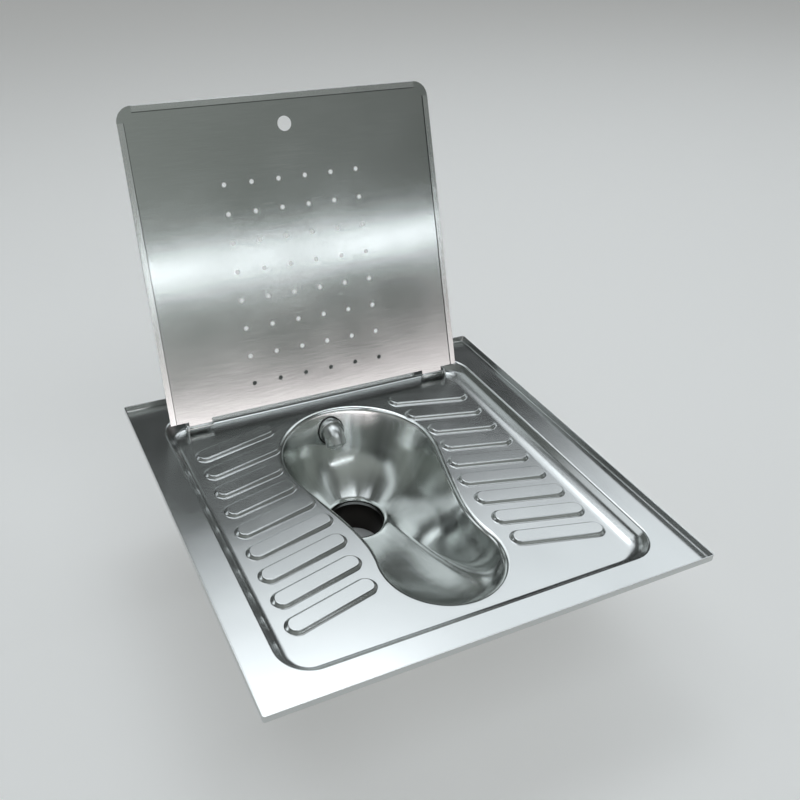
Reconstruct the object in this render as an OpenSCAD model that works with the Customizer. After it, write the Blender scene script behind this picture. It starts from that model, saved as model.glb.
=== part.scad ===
// Stainless steel squat toilet: a square pressed tray with foot treads, a deep-drawn
// bowl, a flush spout, an outlet and a perforated lid that folds down into the tray.
// The origin is the middle of the front rim's underside, where the tray bears on the
// floor. +Z is up and +Y runs from the user's side to the hinge. Sizes are in mm.

/* [Tray] */
// Outer width of the tray, side to side
tray_w = 600; // [560:1:700]
// Outer depth of the tray, front to back
tray_d = 600; // [540:1:700]
// Thickness of the tray's sheet
sheet_t = 1.5; // [1:0.1:2]
// Height of the upstand lip above the rim
lip_h = 9.5; // [5:0.5:15]
// Flat rim between the lip and the recess, on the left and right
rim_side = 43; // [34:0.5:50]
// Flat rim between the lip and the recess, at the front and back
rim_end = 41; // [34:0.5:50]

/* [Recess] */
// Depth of the recess floor below the rim
recess_h = 18; // [15:0.5:22]
// How far the recess wall leans inward on its way down
wall_run = 11; // [8:0.5:13]
// Corner radius of the recess at the rim
recess_r = 43; // [32:1:50]

/* [Treads] */
// Number of foot treads on each side
tread_n = 9; // [5:1:9]
// Width of a tread at its foot
tread_w = 30; // [24:0.5:32]
// Height of a tread above the recess floor
tread_h = 4.5; // [2.5:0.1:5]
// Run of a tread's rounded shoulder
tread_shoulder = 3.5; // [2:0.1:5]
// Splay of the treads, rising towards the hinge on the inner side
tread_splay = 13.5; // [8:0.5:18]
// Centre of a tread's outer end, from the recess's side edge
tread_side = 43.5; // [39:0.5:52]
// Centre of the rearmost tread's outer end, from the recess's back edge
tread_rear = 88; // [83:0.5:94]
// Centre of the foremost tread's outer end, from the recess's front edge
tread_front = 79.6; // [74:0.2:86]
// Least distance of an inner tip from the middle of the tray
tread_inner = 99; // [90:0.5:120]
// Flat left between a tread's tip and the bowl's rolled rim
tread_gap = 1; // [0.5:0.1:6]

/* [Bowl] */
// Radius of the bowl opening's round back part
back_r = 121; // [110:0.5:124]
// Gap between the opening and the recess's back edge
mouth_rear = 42; // [34:0.5:48]
// Radius of the opening's front lobe
lobe_r = 87; // [70:0.5:92]
// Gap between the opening and the recess's front edge
mouth_front = 29; // [24:0.5:46]
// Radius of the rolled rim
roll_r = 8; // [5:0.5:12]
// Lean of the upper wall from upright, below the rolled rim
back_lean = 18; // [12:0.5:26]
// Depth at which the straight upper wall starts to curve in to the outlet
knee_z = 76; // [72:1:90]
// Depth of the outlet's edge below the tray's rim
drain_z = 146; // [120:1:170]
// Inner radius of the outlet
drain_r = 42; // [36:0.5:48]
// Length of the straight neck below the outlet's edge
neck_h = 9; // [6:0.5:14]
// Batter of the lobe's front wall
lobe_batter = 40; // [30:1:70]
// How sharply the front wall turns into the chute's floor
chute_power = 2.6; // [2:0.1:5]
// Pinch of the waist on the back part's side, in degrees
waist_back = 7; // [0:0.5:10]
// Pinch of the waist on the lobe's side, in degrees
waist_lobe = 20; // [0:0.5:26]
// Thickness of the bowl's drawn sheet
bowl_t = 1.5; // [1:0.1:2]
// Seam between the bowl's back and front pressings, in front of the outlet's centre
seam_front = 75.5; // [66:0.5:90]

/* [Outlet] */
// Length of the outlet spigot
spigot_h = 50; // [40:1:80]
// Wall of the outlet spigot
spigot_t = 1.5; // [1:0.1:2.5]
// Width of the rubber sealing ring, along the spigot
seal_h = 14; // [8:1:20]
// Radial thickness of the sealing ring's body
seal_t = 5; // [3:0.5:6]
// How far each sealing lip stands out
seal_lip = 3.5; // [1:0.5:4]
// Height of the sealing ring above the spigot's lower end
seal_up = 12; // [6:1:20]

/* [Flush spout] */
// Outer radius of the spout tube
spout_r = 16; // [14:0.5:16.5]
// Wall of the spout tube
spout_t = 1.5; // [1:0.1:2.5]
// Depth of the spout's level leg below the tray's rim
spout_z = 49; // [46:0.5:50]
// Centreline radius of the spout's bend
spout_bend = 18; // [17.5:0.5:24]
// Angle that the bend turns down
spout_turn = 50; // [40:1:60]
// Straight end past the bend, up to the nozzle's shoulder
spout_end = 6; // [4:0.5:10]
// Length of the level leg inside the bowl, from the wall at its axis
spout_leg = 6; // [4:0.5:10]
// Run of the shoulder that closes the spout's end down to the nozzle
shoulder_h = 3.5; // [3:0.5:6]
// Outer radius of the nozzle's mouth
nozzle_r = 9.5; // [8:0.5:11]
// Length of the nozzle past the shoulder
nozzle_h = 3; // [1:0.5:6]
// Length of the tail behind the wall
spout_tail = 62; // [54:1:66]
// Outer radius of the collar round the spout
collar_r = 20.5; // [18.5:0.5:21]
// Thickness of the rubber gasket between the collar and the wall
gasket_t = 1.3; // [0.8:0.1:1.5]
// How far the gasket stands proud of the wall
gasket_show = 0.8; // [0.4:0.1:1.5]
// Outer radius of the wedge seat behind the wall
seat_r = 26; // [24:0.5:26.5]
// Length of the wedge seat at its thin top
seat_top = 2; // [1.5:0.5:4]
// Width across the flats of the backnut
nut_af = 46; // [42:1:50]
// Thickness of the backnut
nut_h = 9; // [6:0.5:12]
// Wall of the rubber inlet sleeve
sleeve_t = 4.5; // [3:0.5:6]
// Length of the inlet sleeve
sleeve_l = 40; // [34:1:42]
// Overlap of the sleeve on the spout's tail
sleeve_grip = 14; // [10:1:18]
// Stop between the tail and the flush pipe, inside the sleeve
sleeve_stop = 2; // [1:0.5:4]
// Bore radius for the flush pipe
pipe_r = 19; // [17:0.5:20]

/* [Lid] */
// Gap between the closed lid's side edge and the recess's edge
lid_side = 11; // [11:0.5:26]
// Gap between the closed lid's far edge and the recess's edge
lid_front = 23; // [22:0.5:40]
// Thickness of the lid's sheet
lid_t = 1.2; // [1:0.1:1.5]
// Radius of the lid's two far corners
lid_r = 23; // [18:1:40]
// Width of the flat closed hems
hem_w = 9; // [6:0.5:12]
// Angle from upright at which the open lid leans on its stops
lid_lean = 22.2; // [18:0.1:26]
// Columns of perforations
hole_cols = 6; // [2:1:8]
// Rows of perforations
hole_rows = 8; // [2:1:9]
// Distance from one perforation to the next, both ways
hole_pitch = 42.75; // [36:0.25:44]
// Radius of a perforation
hole_r = 3.5; // [2:0.25:5]
// First row of perforations, from the lid's hinge edge
hole_start = 38; // [30:0.5:45]
// Radius of the finger hole
finger_r = 11; // [9:0.5:14]
// Centre of the finger hole, from the lid's far edge
finger_in = 44; // [30:0.5:48]

/* [Hinge] */
// Centre of each hinge tab, from the lid's side edge
tab_in = 46; // [41:0.5:60]
// Width of a hinge tab
tab_w = 35.5; // [24:0.5:36]
// Gap between the hinge axis and the lid's edge
tab_l = 10.5; // [8.5:0.1:12]
// Distance of the hinge axis from the recess's back edge
hinge_in = 25.5; // [24:0.5:31]
// Depth of the hinge axis below the tray's rim
hinge_z = 9.5; // [9:0.1:10.5]
// Radius of the hinge pins
pin_r = 2.5; // [2:0.1:3]
// Outer radius of the rolled knuckles
knuckle_r = 4; // [3.7:0.1:4.2]
// Running clearance of a knuckle on its pin
pin_gap = 0.08; // [0.03:0.01:0.1]
// Gap between a tab and its lug, which the spacer fills
lug_gap = 2.3; // [1.5:0.1:4]
// Side play left at each face of a spacer
spacer_play = 0.2; // [0.1:0.05:0.5]
// Radius of a spacer
spacer_r = 4.1; // [3.2:0.1:4.2]
// Thickness of the hinge lugs
lug_t = 2.5; // [2:0.1:3]
// Radius of a lug's rounded top
lug_r = 7; // [5.5:0.1:8]
// Width of a lug's rear web, which stops the open lid
web_w = 38; // [20:1:42]
// Gap between a knuckle and the web
web_gap = 0.4; // [0.3:0.05:0.8]
// Gap between the open lid and the top of the web
stop_gap = 0.2; // [0.1:0.05:0.5]
// Radius of a pin's head
head_r = 4.5; // [3.5:0.1:6]
// Thickness of a pin's head
head_h = 2; // [1:0.1:3]
// Draw-in of the head's edge from its back to its face
head_ease = 0.6; // [0.2:0.1:1]
// Length of pin that shows past the knuckle
pin_tip = 1.5; // [0.5:0.1:3]

/* [Underside] */
// Distance of the braces' middle line from the recess's side edge
brace_in = 85; // [67:1:90]
// Gap between a brace's end and the recess's front or back edge
brace_end = 59; // [50:1:100]
// Width of a brace's channel
brace_w = 28; // [20:1:34]
// Depth of a brace's channel
brace_h = 22; // [15:1:30]
// Width of each welding flange
flange_w = 9; // [6:0.5:12]
// Thickness of the brace and lug strip
brace_t = 2; // [1.5:0.1:3]
// Distance of the fixing holes from the recess's side edge
fixing_side = 1; // [1:0.5:10]
// Distance of the fixing holes from the recess's front and back edges
fixing_end = 79; // [40:1:140]
// Width of a fixing lug
fixing_w = 30; // [20:1:40]
// Drop of the fixing lugs below the recess floor
fixing_h = 26; // [15:1:50]
// Reach of a lug's foot on each side of its hole
fixing_reach = 13; // [9:0.5:16]
// Radius of the fixing holes
fixing_r = 3.5; // [2.5:0.1:5]
// Distance of the earth tag from the recess's side edge
earth_side = 107; // [50:1:180]
// Distance of the earth tag from the recess's back edge
earth_end = 31; // [26:1:34]
// Width of the earth tag
earth_w = 20; // [18:1:26]
// Drop of the earth tag below the recess floor
earth_h = 26; // [24:1:34]
// Height of the earth screw above the tag's lower end
earth_up = 10; // [7:0.5:14]
// Radius of the earth screw
earth_r = 3; // [2.5:0.1:3.5]
// Length of the earth screw under its head
earth_l = 13.5; // [11:0.5:20]
// Width across the corners of the earth screw's head and nut
earth_hex = 11.4; // [9:0.2:14]
// Thickness of the earth screw's head
earth_head = 4; // [3:0.5:5]
// Thickness of the earth nut
earth_nut_h = 5; // [3:0.5:6]

/* [Hidden] */
// The tray's own axes meet at its middle, level with the top of its rim.
origin_y = tray_d / 2 - rim_end / 2;
// Slack that lets a cut pass clean through a face
cut = 1;
// Gap between pieces that sit on or in each other
snug = 0.05;
// Gap between the bowl's wall and what is clamped to it
wall_gap = 0.3;
fine = 64;
// Half sizes of the recess at the rim
recess_x = tray_w / 2 - rim_side;
recess_y = tray_d / 2 - rim_end;
floor_z = -recess_h;
// Places that follow the recess: the bowl, the treads, the lid and what hangs below
back_y = recess_y - back_r - mouth_rear;
lobe_y = recess_y - lobe_r - mouth_front;
seam_y = back_y - seam_front;
tread_reach = recess_x - tread_side;
tread_back = recess_y - tread_rear;
tread_pitch = (tread_back + recess_y - tread_front) / (tread_n - 1);
hinge_y = recess_y - hinge_in;
lid_w = 2 * (recess_x - lid_side);
lid_l = hinge_y - tab_l + recess_y - lid_front;
tab_x = lid_w / 2 - tab_in;
brace_x = recess_x - brace_in;
brace_l = 2 * (recess_y - brace_end);
fixing_x = recess_x - fixing_side;
fixing_y = recess_y - fixing_end;
earth_x = recess_x - earth_side;
earth_y = recess_y - earth_end;
// Level that the pieces welded below the recess reach up to
under_z = floor_z - sheet_t - snug;
// Wall lean as horizontal run per depth, and the sheet's thickness measured level
lean_rate = wall_run / recess_h;
wall_level_t = sheet_t * sqrt(1 + lean_rate * lean_rate);

// ---- outlines of the bowl ----
// Steps of the back arc, the waist curve and the lobe arc on one side
arc_steps = 18;
waist_steps = 8;
lobe_steps = 14;
roll_steps = 4;
wall_steps = 14;
// Sides of the spout's tube, and steps round its bend
spout_sides = 48;
spout_steps = 10;
// Spread of the curve's ends where the two circles run together at the outlet
merge_spread = 22;
merge_power = 8;

// A point on a circle in the plane
function on_circle(r, y, a) = [r * cos(a), y + r * sin(a)];

// A point on a cubic curve with end points p0, p3 and handles p1, p2
function curve(p0, p1, p2, p3, u) =
  pow(1 - u, 3) * p0 + 3 * u * pow(1 - u, 2) * p1
  + 3 * u * u * (1 - u) * p2 + pow(u, 3) * p3;

// Right half of the keyhole outline, from the back round to the front: an arc round
// the back part, a pinched curve at the waist and an arc round the lobe.
// fade runs from 0 at the rim to 1 at the outlet, where the outline is a circle.
function half_outline(rb, rl, ly, fade) =
  let (
    apart = max(back_y - ly, 0.01),
    tangent = asin(min(1, max(-1, (rb - rl) / max(apart, 5)))),
    spread = merge_spread * pow(fade, merge_power),
    a_back = -tangent * (1 - pow(fade, merge_power)) - waist_back * (1 - fade) + spread,
    a_lobe = -tangent * (1 - pow(fade, merge_power)) + waist_lobe * (1 - fade) - spread,
    p0 = on_circle(rb, back_y, a_back),
    p3 = on_circle(rl, ly, a_lobe),
    long = norm(p3 - p0),
    p1 = p0 + long * (0.6 - 0.25 * fade) * [sin(a_back), -cos(a_back)],
    p2 = p3 - long * (0.25 + 0.1 * fade) * [sin(a_lobe), -cos(a_lobe)]
  )
  concat(
    [for (i = [0:arc_steps]) on_circle(rb, back_y, 90 + (a_back - 90) * i / arc_steps)],
    [for (i = [1:waist_steps - 1]) curve(p0, p1, p2, p3, i / waist_steps)],
    [for (i = [0:lobe_steps]) on_circle(rl, ly, a_lobe - (a_lobe + 90) * i / lobe_steps)]
  );

// Whole outline: the right half, then its mirror image back up the left
function outline(rb, rl, ly, fade) =
  let (right = half_outline(rb, rl, ly, fade), last = len(right) - 1)
  concat(right, [for (i = [last - 1:-1:1]) [-right[i][0], right[i][1]]]);

rim_outline = outline(back_r, lobe_r, -lobe_y, 0);
rim_right = half_outline(back_r, lobe_r, -lobe_y, 0);
// Half width of the opening at a place along the tray, for the treads' inner ends
function opening_x(y) =
  lookup(y, [for (i = [len(rim_right) - 1:-1:0]) [rim_right[i][1], rim_right[i][0]]]);

// ---- levels of the bowl's wall ----
// The roll turns until it meets the upper wall's slope
roll_turn = 90 - back_lean;
wall_z = floor_z - roll_r * (1 - cos(roll_turn));
wall_back_r = back_r - roll_r * sin(roll_turn);
wall_lobe_r = lobe_r - roll_r * sin(roll_turn);
knee_r = wall_back_r - (wall_z + knee_z) * tan(back_lean);
knee_bow = (knee_r - drain_r - (drain_z - knee_z) * tan(back_lean)) / pow(drain_z - knee_z, 2);
tip_start = -lobe_y - wall_lobe_r;
tip_travel = back_y - drain_r - tip_start;
// Distance of the lobe's front tip from the rim at each level
function tip(w) = lobe_batter * w + (tip_travel - lobe_batter) * pow(w, chute_power);
// Radius of the back wall: a straight cone down to the knee, then a curve to the outlet
function wall_back(w) =
  let (z = level(w), past = max(0, -z - knee_z))
  wall_back_r - (wall_z - z) * tan(back_lean) - knee_bow * past * past;
function wall_lobe(w) = wall_lobe_r + (drain_r - wall_lobe_r) * w;
function level(w) = wall_z - (wall_z + drain_z) * w;
// Levels lie closer together near the outlet, where the chute is nearly flat
function share(i) = 1 - pow(1 - i / wall_steps, 1.5);

// One closed ring of the bowl at a place w down the wall, grown by dr and dropped by dz
function wall_ring(w, dr, dz) =
  let (rl = wall_lobe(w), ly = tip_start + tip(w) + rl)
  [for (p = outline(wall_back(w) + dr, rl + dr, ly, w)) [p[0], p[1], level(w) - dz]];

// One closed ring of the rolled rim, with roll radius r about the rim's own centre line
function roll_ring(a, r) =
  let (in = r * sin(a), z = floor_z - roll_r + r * cos(a))
  [for (p = outline(back_r - in, lobe_r - in, -lobe_y, 0)) [p[0], p[1], z]];

// A ring of the straight neck
function neck_ring(r, z) =
  [for (p = outline(r, r, back_y, 1)) [p[0], p[1], z]];

inner_rings = concat(
  [for (i = [0:roll_steps]) roll_ring(roll_turn * i / roll_steps, roll_r)],
  [for (i = [1:wall_steps]) wall_ring(share(i), 0, 0)],
  [neck_ring(drain_r, -drain_z - neck_h)]
);
outer_rings = concat(
  [for (i = [0:roll_steps]) roll_ring(roll_turn * i / roll_steps, roll_r - bowl_t)],
  [for (i = [1:wall_steps])
    wall_ring(share(i), bowl_t * sin(roll_turn) + bowl_t * (1 - sin(roll_turn)) * share(i),
      bowl_t * cos(roll_turn))],
  [neck_ring(drain_r + bowl_t, -drain_z - neck_h)]
);

// A shell between two stacks of rings, closed along their first and last rings
module ring_shell(inner, outer) {
  count = len(inner[0]);
  levels = len(inner);
  points = concat([for (r = inner) for (p = r) p], [for (r = outer) for (p = r) p]);
  base = count * levels;
  quads = [for (k = [0:levels - 2]) for (i = [0:count - 1])
    let (j = (i + 1) % count, a = k * count, b = (k + 1) * count)
    each [
      [a + i, b + i, b + j], [a + i, b + j, a + j],
      [base + a + i, base + b + j, base + b + i], [base + a + i, base + a + j, base + b + j]
    ]];
  low = (levels - 1) * count;
  ends = [for (i = [0:count - 1])
    let (j = (i + 1) % count)
    each [
      [i, j, base + j], [i, base + j, base + i],
      [low + i, base + low + j, low + j], [low + i, base + low + i, base + low + j]
    ]];
  polyhedron(points, concat(quads, ends), convexity = 8);
}

// Lower end of the outlet spigot
spigot_z = -drain_z - neck_h - snug - spigot_h;

// ---- the spout ----
// The back wall is a cone about the outlet's axis
function cone_r(z, in) = wall_back_r - (wall_z - z) * tan(back_lean) - in;
spout_wall_y = back_y + cone_r(-spout_z, 0);
spout_corner_y = spout_wall_y - spout_leg;
spout_back_y = spout_wall_y + spout_tail;
gasket_r = collar_r + snug + gasket_t;
// Level run through a thickness of one, measured square to the leaning wall
wall_run_rate = 1 / cos(back_lean);
seat_y = back_y + cone_r(-spout_z + seat_r, -(bowl_t + wall_gap) * wall_run_rate) + seat_top;

// The space inside the upper wall's cone, drawn in by a distance square to the wall
module cone_space(depth) {
  in = depth * wall_run_rate;
  top = cut;
  bottom = -knee_z - seat_r;
  translate([0, back_y, bottom])
    cylinder(h = top - bottom, r1 = cone_r(bottom, in), r2 = cone_r(top, in), $fn = fine);
}

// A cylinder along the spout's level leg
module leg_cylinder(r, y0, y1) {
  translate([0, y1, -spout_z])
    rotate([90, 0, 0])
      cylinder(h = y1 - y0, r = r, $fn = fine);
}

// ---- the lid ----
// Everything on the lid is drawn upright over the hinge axis and leant back after.
module lid_place() {
  translate([0, hinge_y, -hinge_z])
    rotate([-lid_lean, 0, 0])
      children();
}

// ---- the treads ----
function tread_centre(i) = [tread_reach, tread_back - i * tread_pitch];
// Length along a tread from its outer end centre to its inner one
function tread_run(i) =
  let (
    c = tread_centre(i),
    end = tread_w / 2,
    rough = (c[0] - tread_inner - end) / cos(tread_splay),
    tip_y = c[1] + (rough + end) * sin(tread_splay),
    tip_x = max(tread_inner, opening_x(tip_y) + tread_gap)
  )
  (c[0] - tip_x) / cos(tread_splay) - end;

// Half section of a tread: shoulder, crown and the depth it is sunk below the floor
function tread_half(half, top, shoulder, sink) =
  [[0, -sink], [half, -sink], [half, 0], [half - shoulder * 0.35, top * 0.62],
    [half - shoulder, top], [0, top]];

// One tread lying along -X from its outer end centre
module tread_form(run, half, top, shoulder, sink) {
  section = tread_half(half, top, shoulder, sink);
  rotate([0, 0, -90])
    rotate_extrude(angle = 180, $fn = fine)
      polygon(section);
  translate([-run, 0, 0])
    rotate([0, 0, 90])
      rotate_extrude(angle = 180, $fn = fine)
        polygon(section);
  rotate([90, 0, -90])
    linear_extrude(height = run)
        polygon(concat(section, [for (i = [4:-1:1]) [-section[i][0], section[i][1]]]));
}

module treads(half, top, shoulder, sink) {
  for (side = [0, 1], i = [0:tread_n - 1])
    mirror([side, 0, 0])
      translate([tread_centre(i)[0], tread_centre(i)[1], floor_z])
        rotate([0, 0, -tread_splay])
          tread_form(tread_run(i), half, top, shoulder, sink);
}

// ---- the recess ----
// A sunk form with leaning walls and round corners, grown sideways by grow
module recess_form(grow, top, bottom) {
  function spread(z) = grow + z * lean_rate;
  cx = recess_x - recess_r;
  cy = recess_y - recess_r;
  for (sx = [-1, 1], sy = [-1, 1])
    translate([sx * cx, sy * cy, bottom])
      cylinder(h = top - bottom, r1 = recess_r + spread(bottom), r2 = recess_r + spread(top),
        $fn = fine);
  leaning_block(cx + recess_r, cy, top, bottom, grow);
  rotate([0, 0, 90])
    leaning_block(cy + recess_r, cx, top, bottom, grow);
}

// A block whose two long sides lean as the recess wall does
module leaning_block(half, reach, top, bottom, grow) {
  low = half + grow + bottom * lean_rate;
  high = half + grow + top * lean_rate;
  translate([0, reach, 0])
    rotate([90, 0, 0])
      linear_extrude(height = 2 * reach)
        polygon([[-low, bottom], [low, bottom], [high, top], [-high, top]]);
}

// Puts a piece drawn on the tray's axes into the part's frame
module in_place() {
  translate([0, origin_y, sheet_t])
    children();
}

// ---- pieces ----

// Pressed tray: upstand lip, flat rim, recess with treads, and the bowl's opening
module deck_tray() {
  color("#c9ced0")
    in_place()
      difference() {
        union() {
          translate([-tray_w / 2, -tray_d / 2, -sheet_t])
            cube([tray_w, tray_d, sheet_t + lip_h]);
          recess_form(wall_level_t, 0, floor_z - sheet_t);
        }
        translate([sheet_t - tray_w / 2, sheet_t - tray_d / 2, 0])
          cube([tray_w - 2 * sheet_t, tray_d - 2 * sheet_t, lip_h + cut]);
        difference() {
          recess_form(0, cut, floor_z);
          treads(tread_w / 2, tread_h, tread_shoulder, cut);
        }
        treads(tread_w / 2 - sheet_t, tread_h - sheet_t, tread_shoulder, sheet_t + cut);
        translate([0, 0, floor_z - sheet_t - cut])
          linear_extrude(height = sheet_t + 2 * cut)
            polygon(rim_outline);
      }
}

// Deep-drawn bowl: rolled rim, cone round the outlet and chute from the front lobe
module bowl_shell() {
  difference() {
    ring_shell(inner_rings, outer_rings);
    leg_cylinder(gasket_r + wall_gap, spout_corner_y, spout_wall_y + 2 * collar_r);
  }
}

// The space on one side of the seam, which runs across the waist
module seam_side(low, high) {
  translate([-tray_w / 2, low, -2 * drain_z])
    cube([tray_w, high - low, 2 * drain_z]);
}

// Back pressing of the bowl, with the outlet's neck and the hole for the spout
module bowl_back() {
  color("#b4babb")
    in_place()
      difference() {
        bowl_shell();
        seam_side(-tray_d, seam_y + snug);
      }
}

// Front pressing of the bowl, welded to the back one across the waist
module bowl_front() {
  color("#aeb4b6")
    in_place()
      difference() {
        bowl_shell();
        seam_side(seam_y, tray_d);
      }
}

// Outlet tube, butt-welded to the bowl's neck
module outlet_spigot() {
  color("#aeb4b6")
    in_place()
      translate([0, back_y, spigot_z])
        difference() {
          cylinder(h = spigot_h, r = drain_r + spigot_t, $fn = fine);
          translate([0, 0, -cut])
            cylinder(h = spigot_h + 2 * cut, r = drain_r, $fn = fine);
        }
}

// Rubber ring with two lips that seals the spigot in the drain pipe's socket
module outlet_seal() {
  inner = drain_r + spigot_t + snug;
  lip = seal_h / 4;
  color("#26282a")
    in_place()
      translate([0, back_y, spigot_z + seal_up])
        rotate_extrude($fn = fine)
          polygon([[inner, 0], [inner + seal_t, 0], [inner + seal_t, lip],
            [inner + seal_t + seal_lip, 1.6 * lip], [inner + seal_t, 2 * lip],
            [inner + seal_t + seal_lip, 3 * lip], [inner + seal_t, 3.4 * lip],
            [inner + seal_t, seal_h], [inner, seal_h]]);
}

// A ring of the spout's tube, turned down by an angle and moved along from there
function spout_ring(turn, along, r) =
  [for (i = [0:spout_sides - 1])
    let (
      a = 360 * i / spout_sides,
      up = spout_bend + r * sin(a),
      y = spout_corner_y - up * sin(turn) - along * cos(turn),
      z = up * cos(turn) - along * sin(turn) - spout_z - spout_bend
    )
    [r * cos(a), y, z]];

// Rings from the tail's open end to the end past the bend
function spout_rings(r) = concat(
  [spout_ring(0, spout_corner_y - spout_back_y, r)],
  [for (i = [0:spout_steps]) spout_ring(spout_turn * i / spout_steps, 0, r)],
  [spout_ring(spout_turn, spout_end, r)]
);

// Bent tube: tail through the wall, level leg, bend and a straight end that points down
module flush_spout() {
  color("#c3c8c9")
    in_place()
      ring_shell(spout_rings(spout_r - spout_t), spout_rings(spout_r));
}

// Cap brazed on the spout's end: a rounded shoulder that closes down to a mouth
module spout_nozzle() {
  face_h = spout_end + snug;
  tip_h = face_h + shoulder_h + nozzle_h;
  inner = spout_r - spout_t;
  color("#d0d4d5")
    in_place()
      translate([0, spout_corner_y, -spout_z - spout_bend])
        rotate([spout_turn, 0, 0])
          translate([0, 0, spout_bend])
            rotate([90, 0, 0])
              rotate_extrude($fn = fine)
                polygon([[inner, face_h], [spout_r, face_h],
                  [spout_r - 0.3 * shoulder_h, face_h + 0.7 * shoulder_h],
                  [spout_r - shoulder_h, face_h + shoulder_h], [nozzle_r, face_h + shoulder_h],
                  [nozzle_r, tip_h], [nozzle_r - spout_t, tip_h],
                  [nozzle_r - spout_t, face_h + shoulder_h - spout_t]]);
}

// Collar that carries the spout level through the leaning wall
module spout_collar() {
  color("#c9cecf")
    in_place()
      difference() {
        leg_cylinder(collar_r, spout_corner_y + snug, seat_y);
        leg_cylinder(spout_r + snug, spout_corner_y - cut, seat_y + cut);
      }
}

// Rubber sleeve between the collar and the wall, which shows as a dark ring
module spout_gasket() {
  color("#1b1c1d")
    in_place()
      difference() {
        leg_cylinder(gasket_r, spout_corner_y, seat_y);
        cone_space(gasket_show);
        leg_cylinder(collar_r + snug, spout_corner_y - cut, seat_y + cut);
      }
}

// Moulded wedge ring that gives the backnut a square seat behind the sloping wall
module spout_seat() {
  color("#2a2c2e")
    in_place()
      difference() {
        leg_cylinder(seat_r, spout_corner_y, seat_y);
        cone_space(-bowl_t - wall_gap);
        leg_cylinder(gasket_r + snug, spout_corner_y - cut, seat_y + cut);
      }
}

// Hexagonal nut on the spout's tail
module spout_backnut() {
  color("#b9bec0")
    in_place()
      translate([0, seat_y + snug + nut_h, -spout_z])
        rotate([90, 30, 0])
          difference() {
            cylinder(h = nut_h, r = nut_af / sqrt(3), $fn = 6);
            translate([0, 0, -cut])
              cylinder(h = nut_h + 2 * cut, r = spout_r + snug, $fn = fine);
          }
}

// Rubber sleeve that joins the wider flush pipe to the spout's tail
module inlet_sleeve() {
  start = spout_back_y - sleeve_grip;
  color("#232527")
    in_place()
      difference() {
        union() {
          leg_cylinder(spout_r + sleeve_t, start, spout_back_y);
          leg_cylinder(pipe_r + sleeve_t, spout_back_y - sleeve_t, start + sleeve_l);
        }
        leg_cylinder(spout_r + snug, start - cut, spout_back_y + snug);
        leg_cylinder(spout_r - spout_t, spout_back_y, start + sleeve_l);
        leg_cylinder(pipe_r, spout_back_y + sleeve_stop, start + sleeve_l + cut);
      }
}

// Perforated lid with closed hems, a finger hole and two tabs rolled into knuckles
module lid_plate() {
  color("#c4c9cb")
    in_place()
      lid_place()
        difference() {
          union() {
            lid_sheet();
            lid_hems();
            for (side = [-1, 1])
              lid_tab(side);
          }
          lid_holes();
          translate([0, 0, tab_l + lid_l - finger_in])
            rotate([90, 0, 0])
              cylinder(h = 4 * lid_t, r = finger_r, center = true, $fn = fine);
          rotate([0, 90, 0])
            cylinder(h = lid_w, r = pin_r + pin_gap, center = true, $fn = fine);
        }
}

// Flat sheet with two round far corners, standing on the tabs
module lid_sheet() {
  translate([0, lid_t / 2, tab_l])
    rotate([90, 0, 0])
      linear_extrude(height = lid_t)
        union() {
          translate([-lid_w / 2, 0])
            square([lid_w, lid_l - lid_r]);
          translate([lid_r - lid_w / 2, 0])
            square([lid_w - 2 * lid_r, lid_l]);
          for (side = [-1, 1])
            translate([side * (lid_w / 2 - lid_r), lid_l - lid_r])
              circle(r = lid_r, $fn = fine);
        }
}

// Hems folded flat on the face that looks down when the lid is shut
module lid_hems() {
  side_l = lid_l - lid_r;
  for (side = [-1, 1])
    translate([side * (lid_w - hem_w) / 2 - hem_w / 2, -1.5 * lid_t, tab_l])
      cube([hem_w, lid_t, side_l]);
  translate([lid_r - lid_w / 2, -1.5 * lid_t, tab_l + lid_l - hem_w])
    cube([lid_w - 2 * lid_r, lid_t, hem_w]);
}

// One hinge tab, with its end rolled round the hinge axis
module lid_tab(side) {
  translate([side * tab_x - tab_w / 2, -lid_t / 2, 0])
    cube([tab_w, lid_t, tab_l + lid_t]);
  translate([side * tab_x - tab_w / 2, 0, 0])
    rotate([0, 90, 0])
      cylinder(h = tab_w, r = knuckle_r, $fn = fine);
}

module lid_holes() {
  for (i = [0:hole_cols - 1], j = [0:hole_rows - 1])
    translate([(i - (hole_cols - 1) / 2) * hole_pitch, 0, tab_l + hole_start + j * hole_pitch])
      rotate([90, 0, 0])
        cylinder(h = 4 * lid_t, r = hole_r, center = true, $fn = 32);
}

// Folded hinge lug: an ear that holds the pin and a web behind that stops the lid
module hinge_lug(side) {
  ear_x = tab_x + tab_w / 2 + lug_gap;
  web_y = knuckle_r + web_gap;
  lean_y = lid_t / 2 / cos(lid_lean) + stop_gap;
  web_top = (web_y - lean_y) / tan(lid_lean);
  foot = recess_h - hinge_z;
  color("#b7bcbe")
    in_place()
      translate([0, hinge_y, -hinge_z])
        mirror([side < 0 ? 1 : 0, 0, 0])
          difference() {
            union() {
              translate([ear_x, 0, 0])
                rotate([0, 90, 0])
                  cylinder(h = lug_t, r = lug_r, $fn = fine);
              translate([ear_x, -lug_r, -foot])
                cube([lug_t, lug_r + web_y + lug_t, foot]);
              translate([ear_x + lug_t - web_w, web_y, -foot])
                cube([web_w, lug_t, foot + web_top]);
            }
            translate([ear_x - cut, 0, 0])
              rotate([0, 90, 0])
                cylinder(h = lug_t + 2 * cut, r = pin_r + snug, $fn = fine);
          }
}

module hinge_lug_left() {
  hinge_lug(-1);
}

module hinge_lug_right() {
  hinge_lug(1);
}

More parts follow.
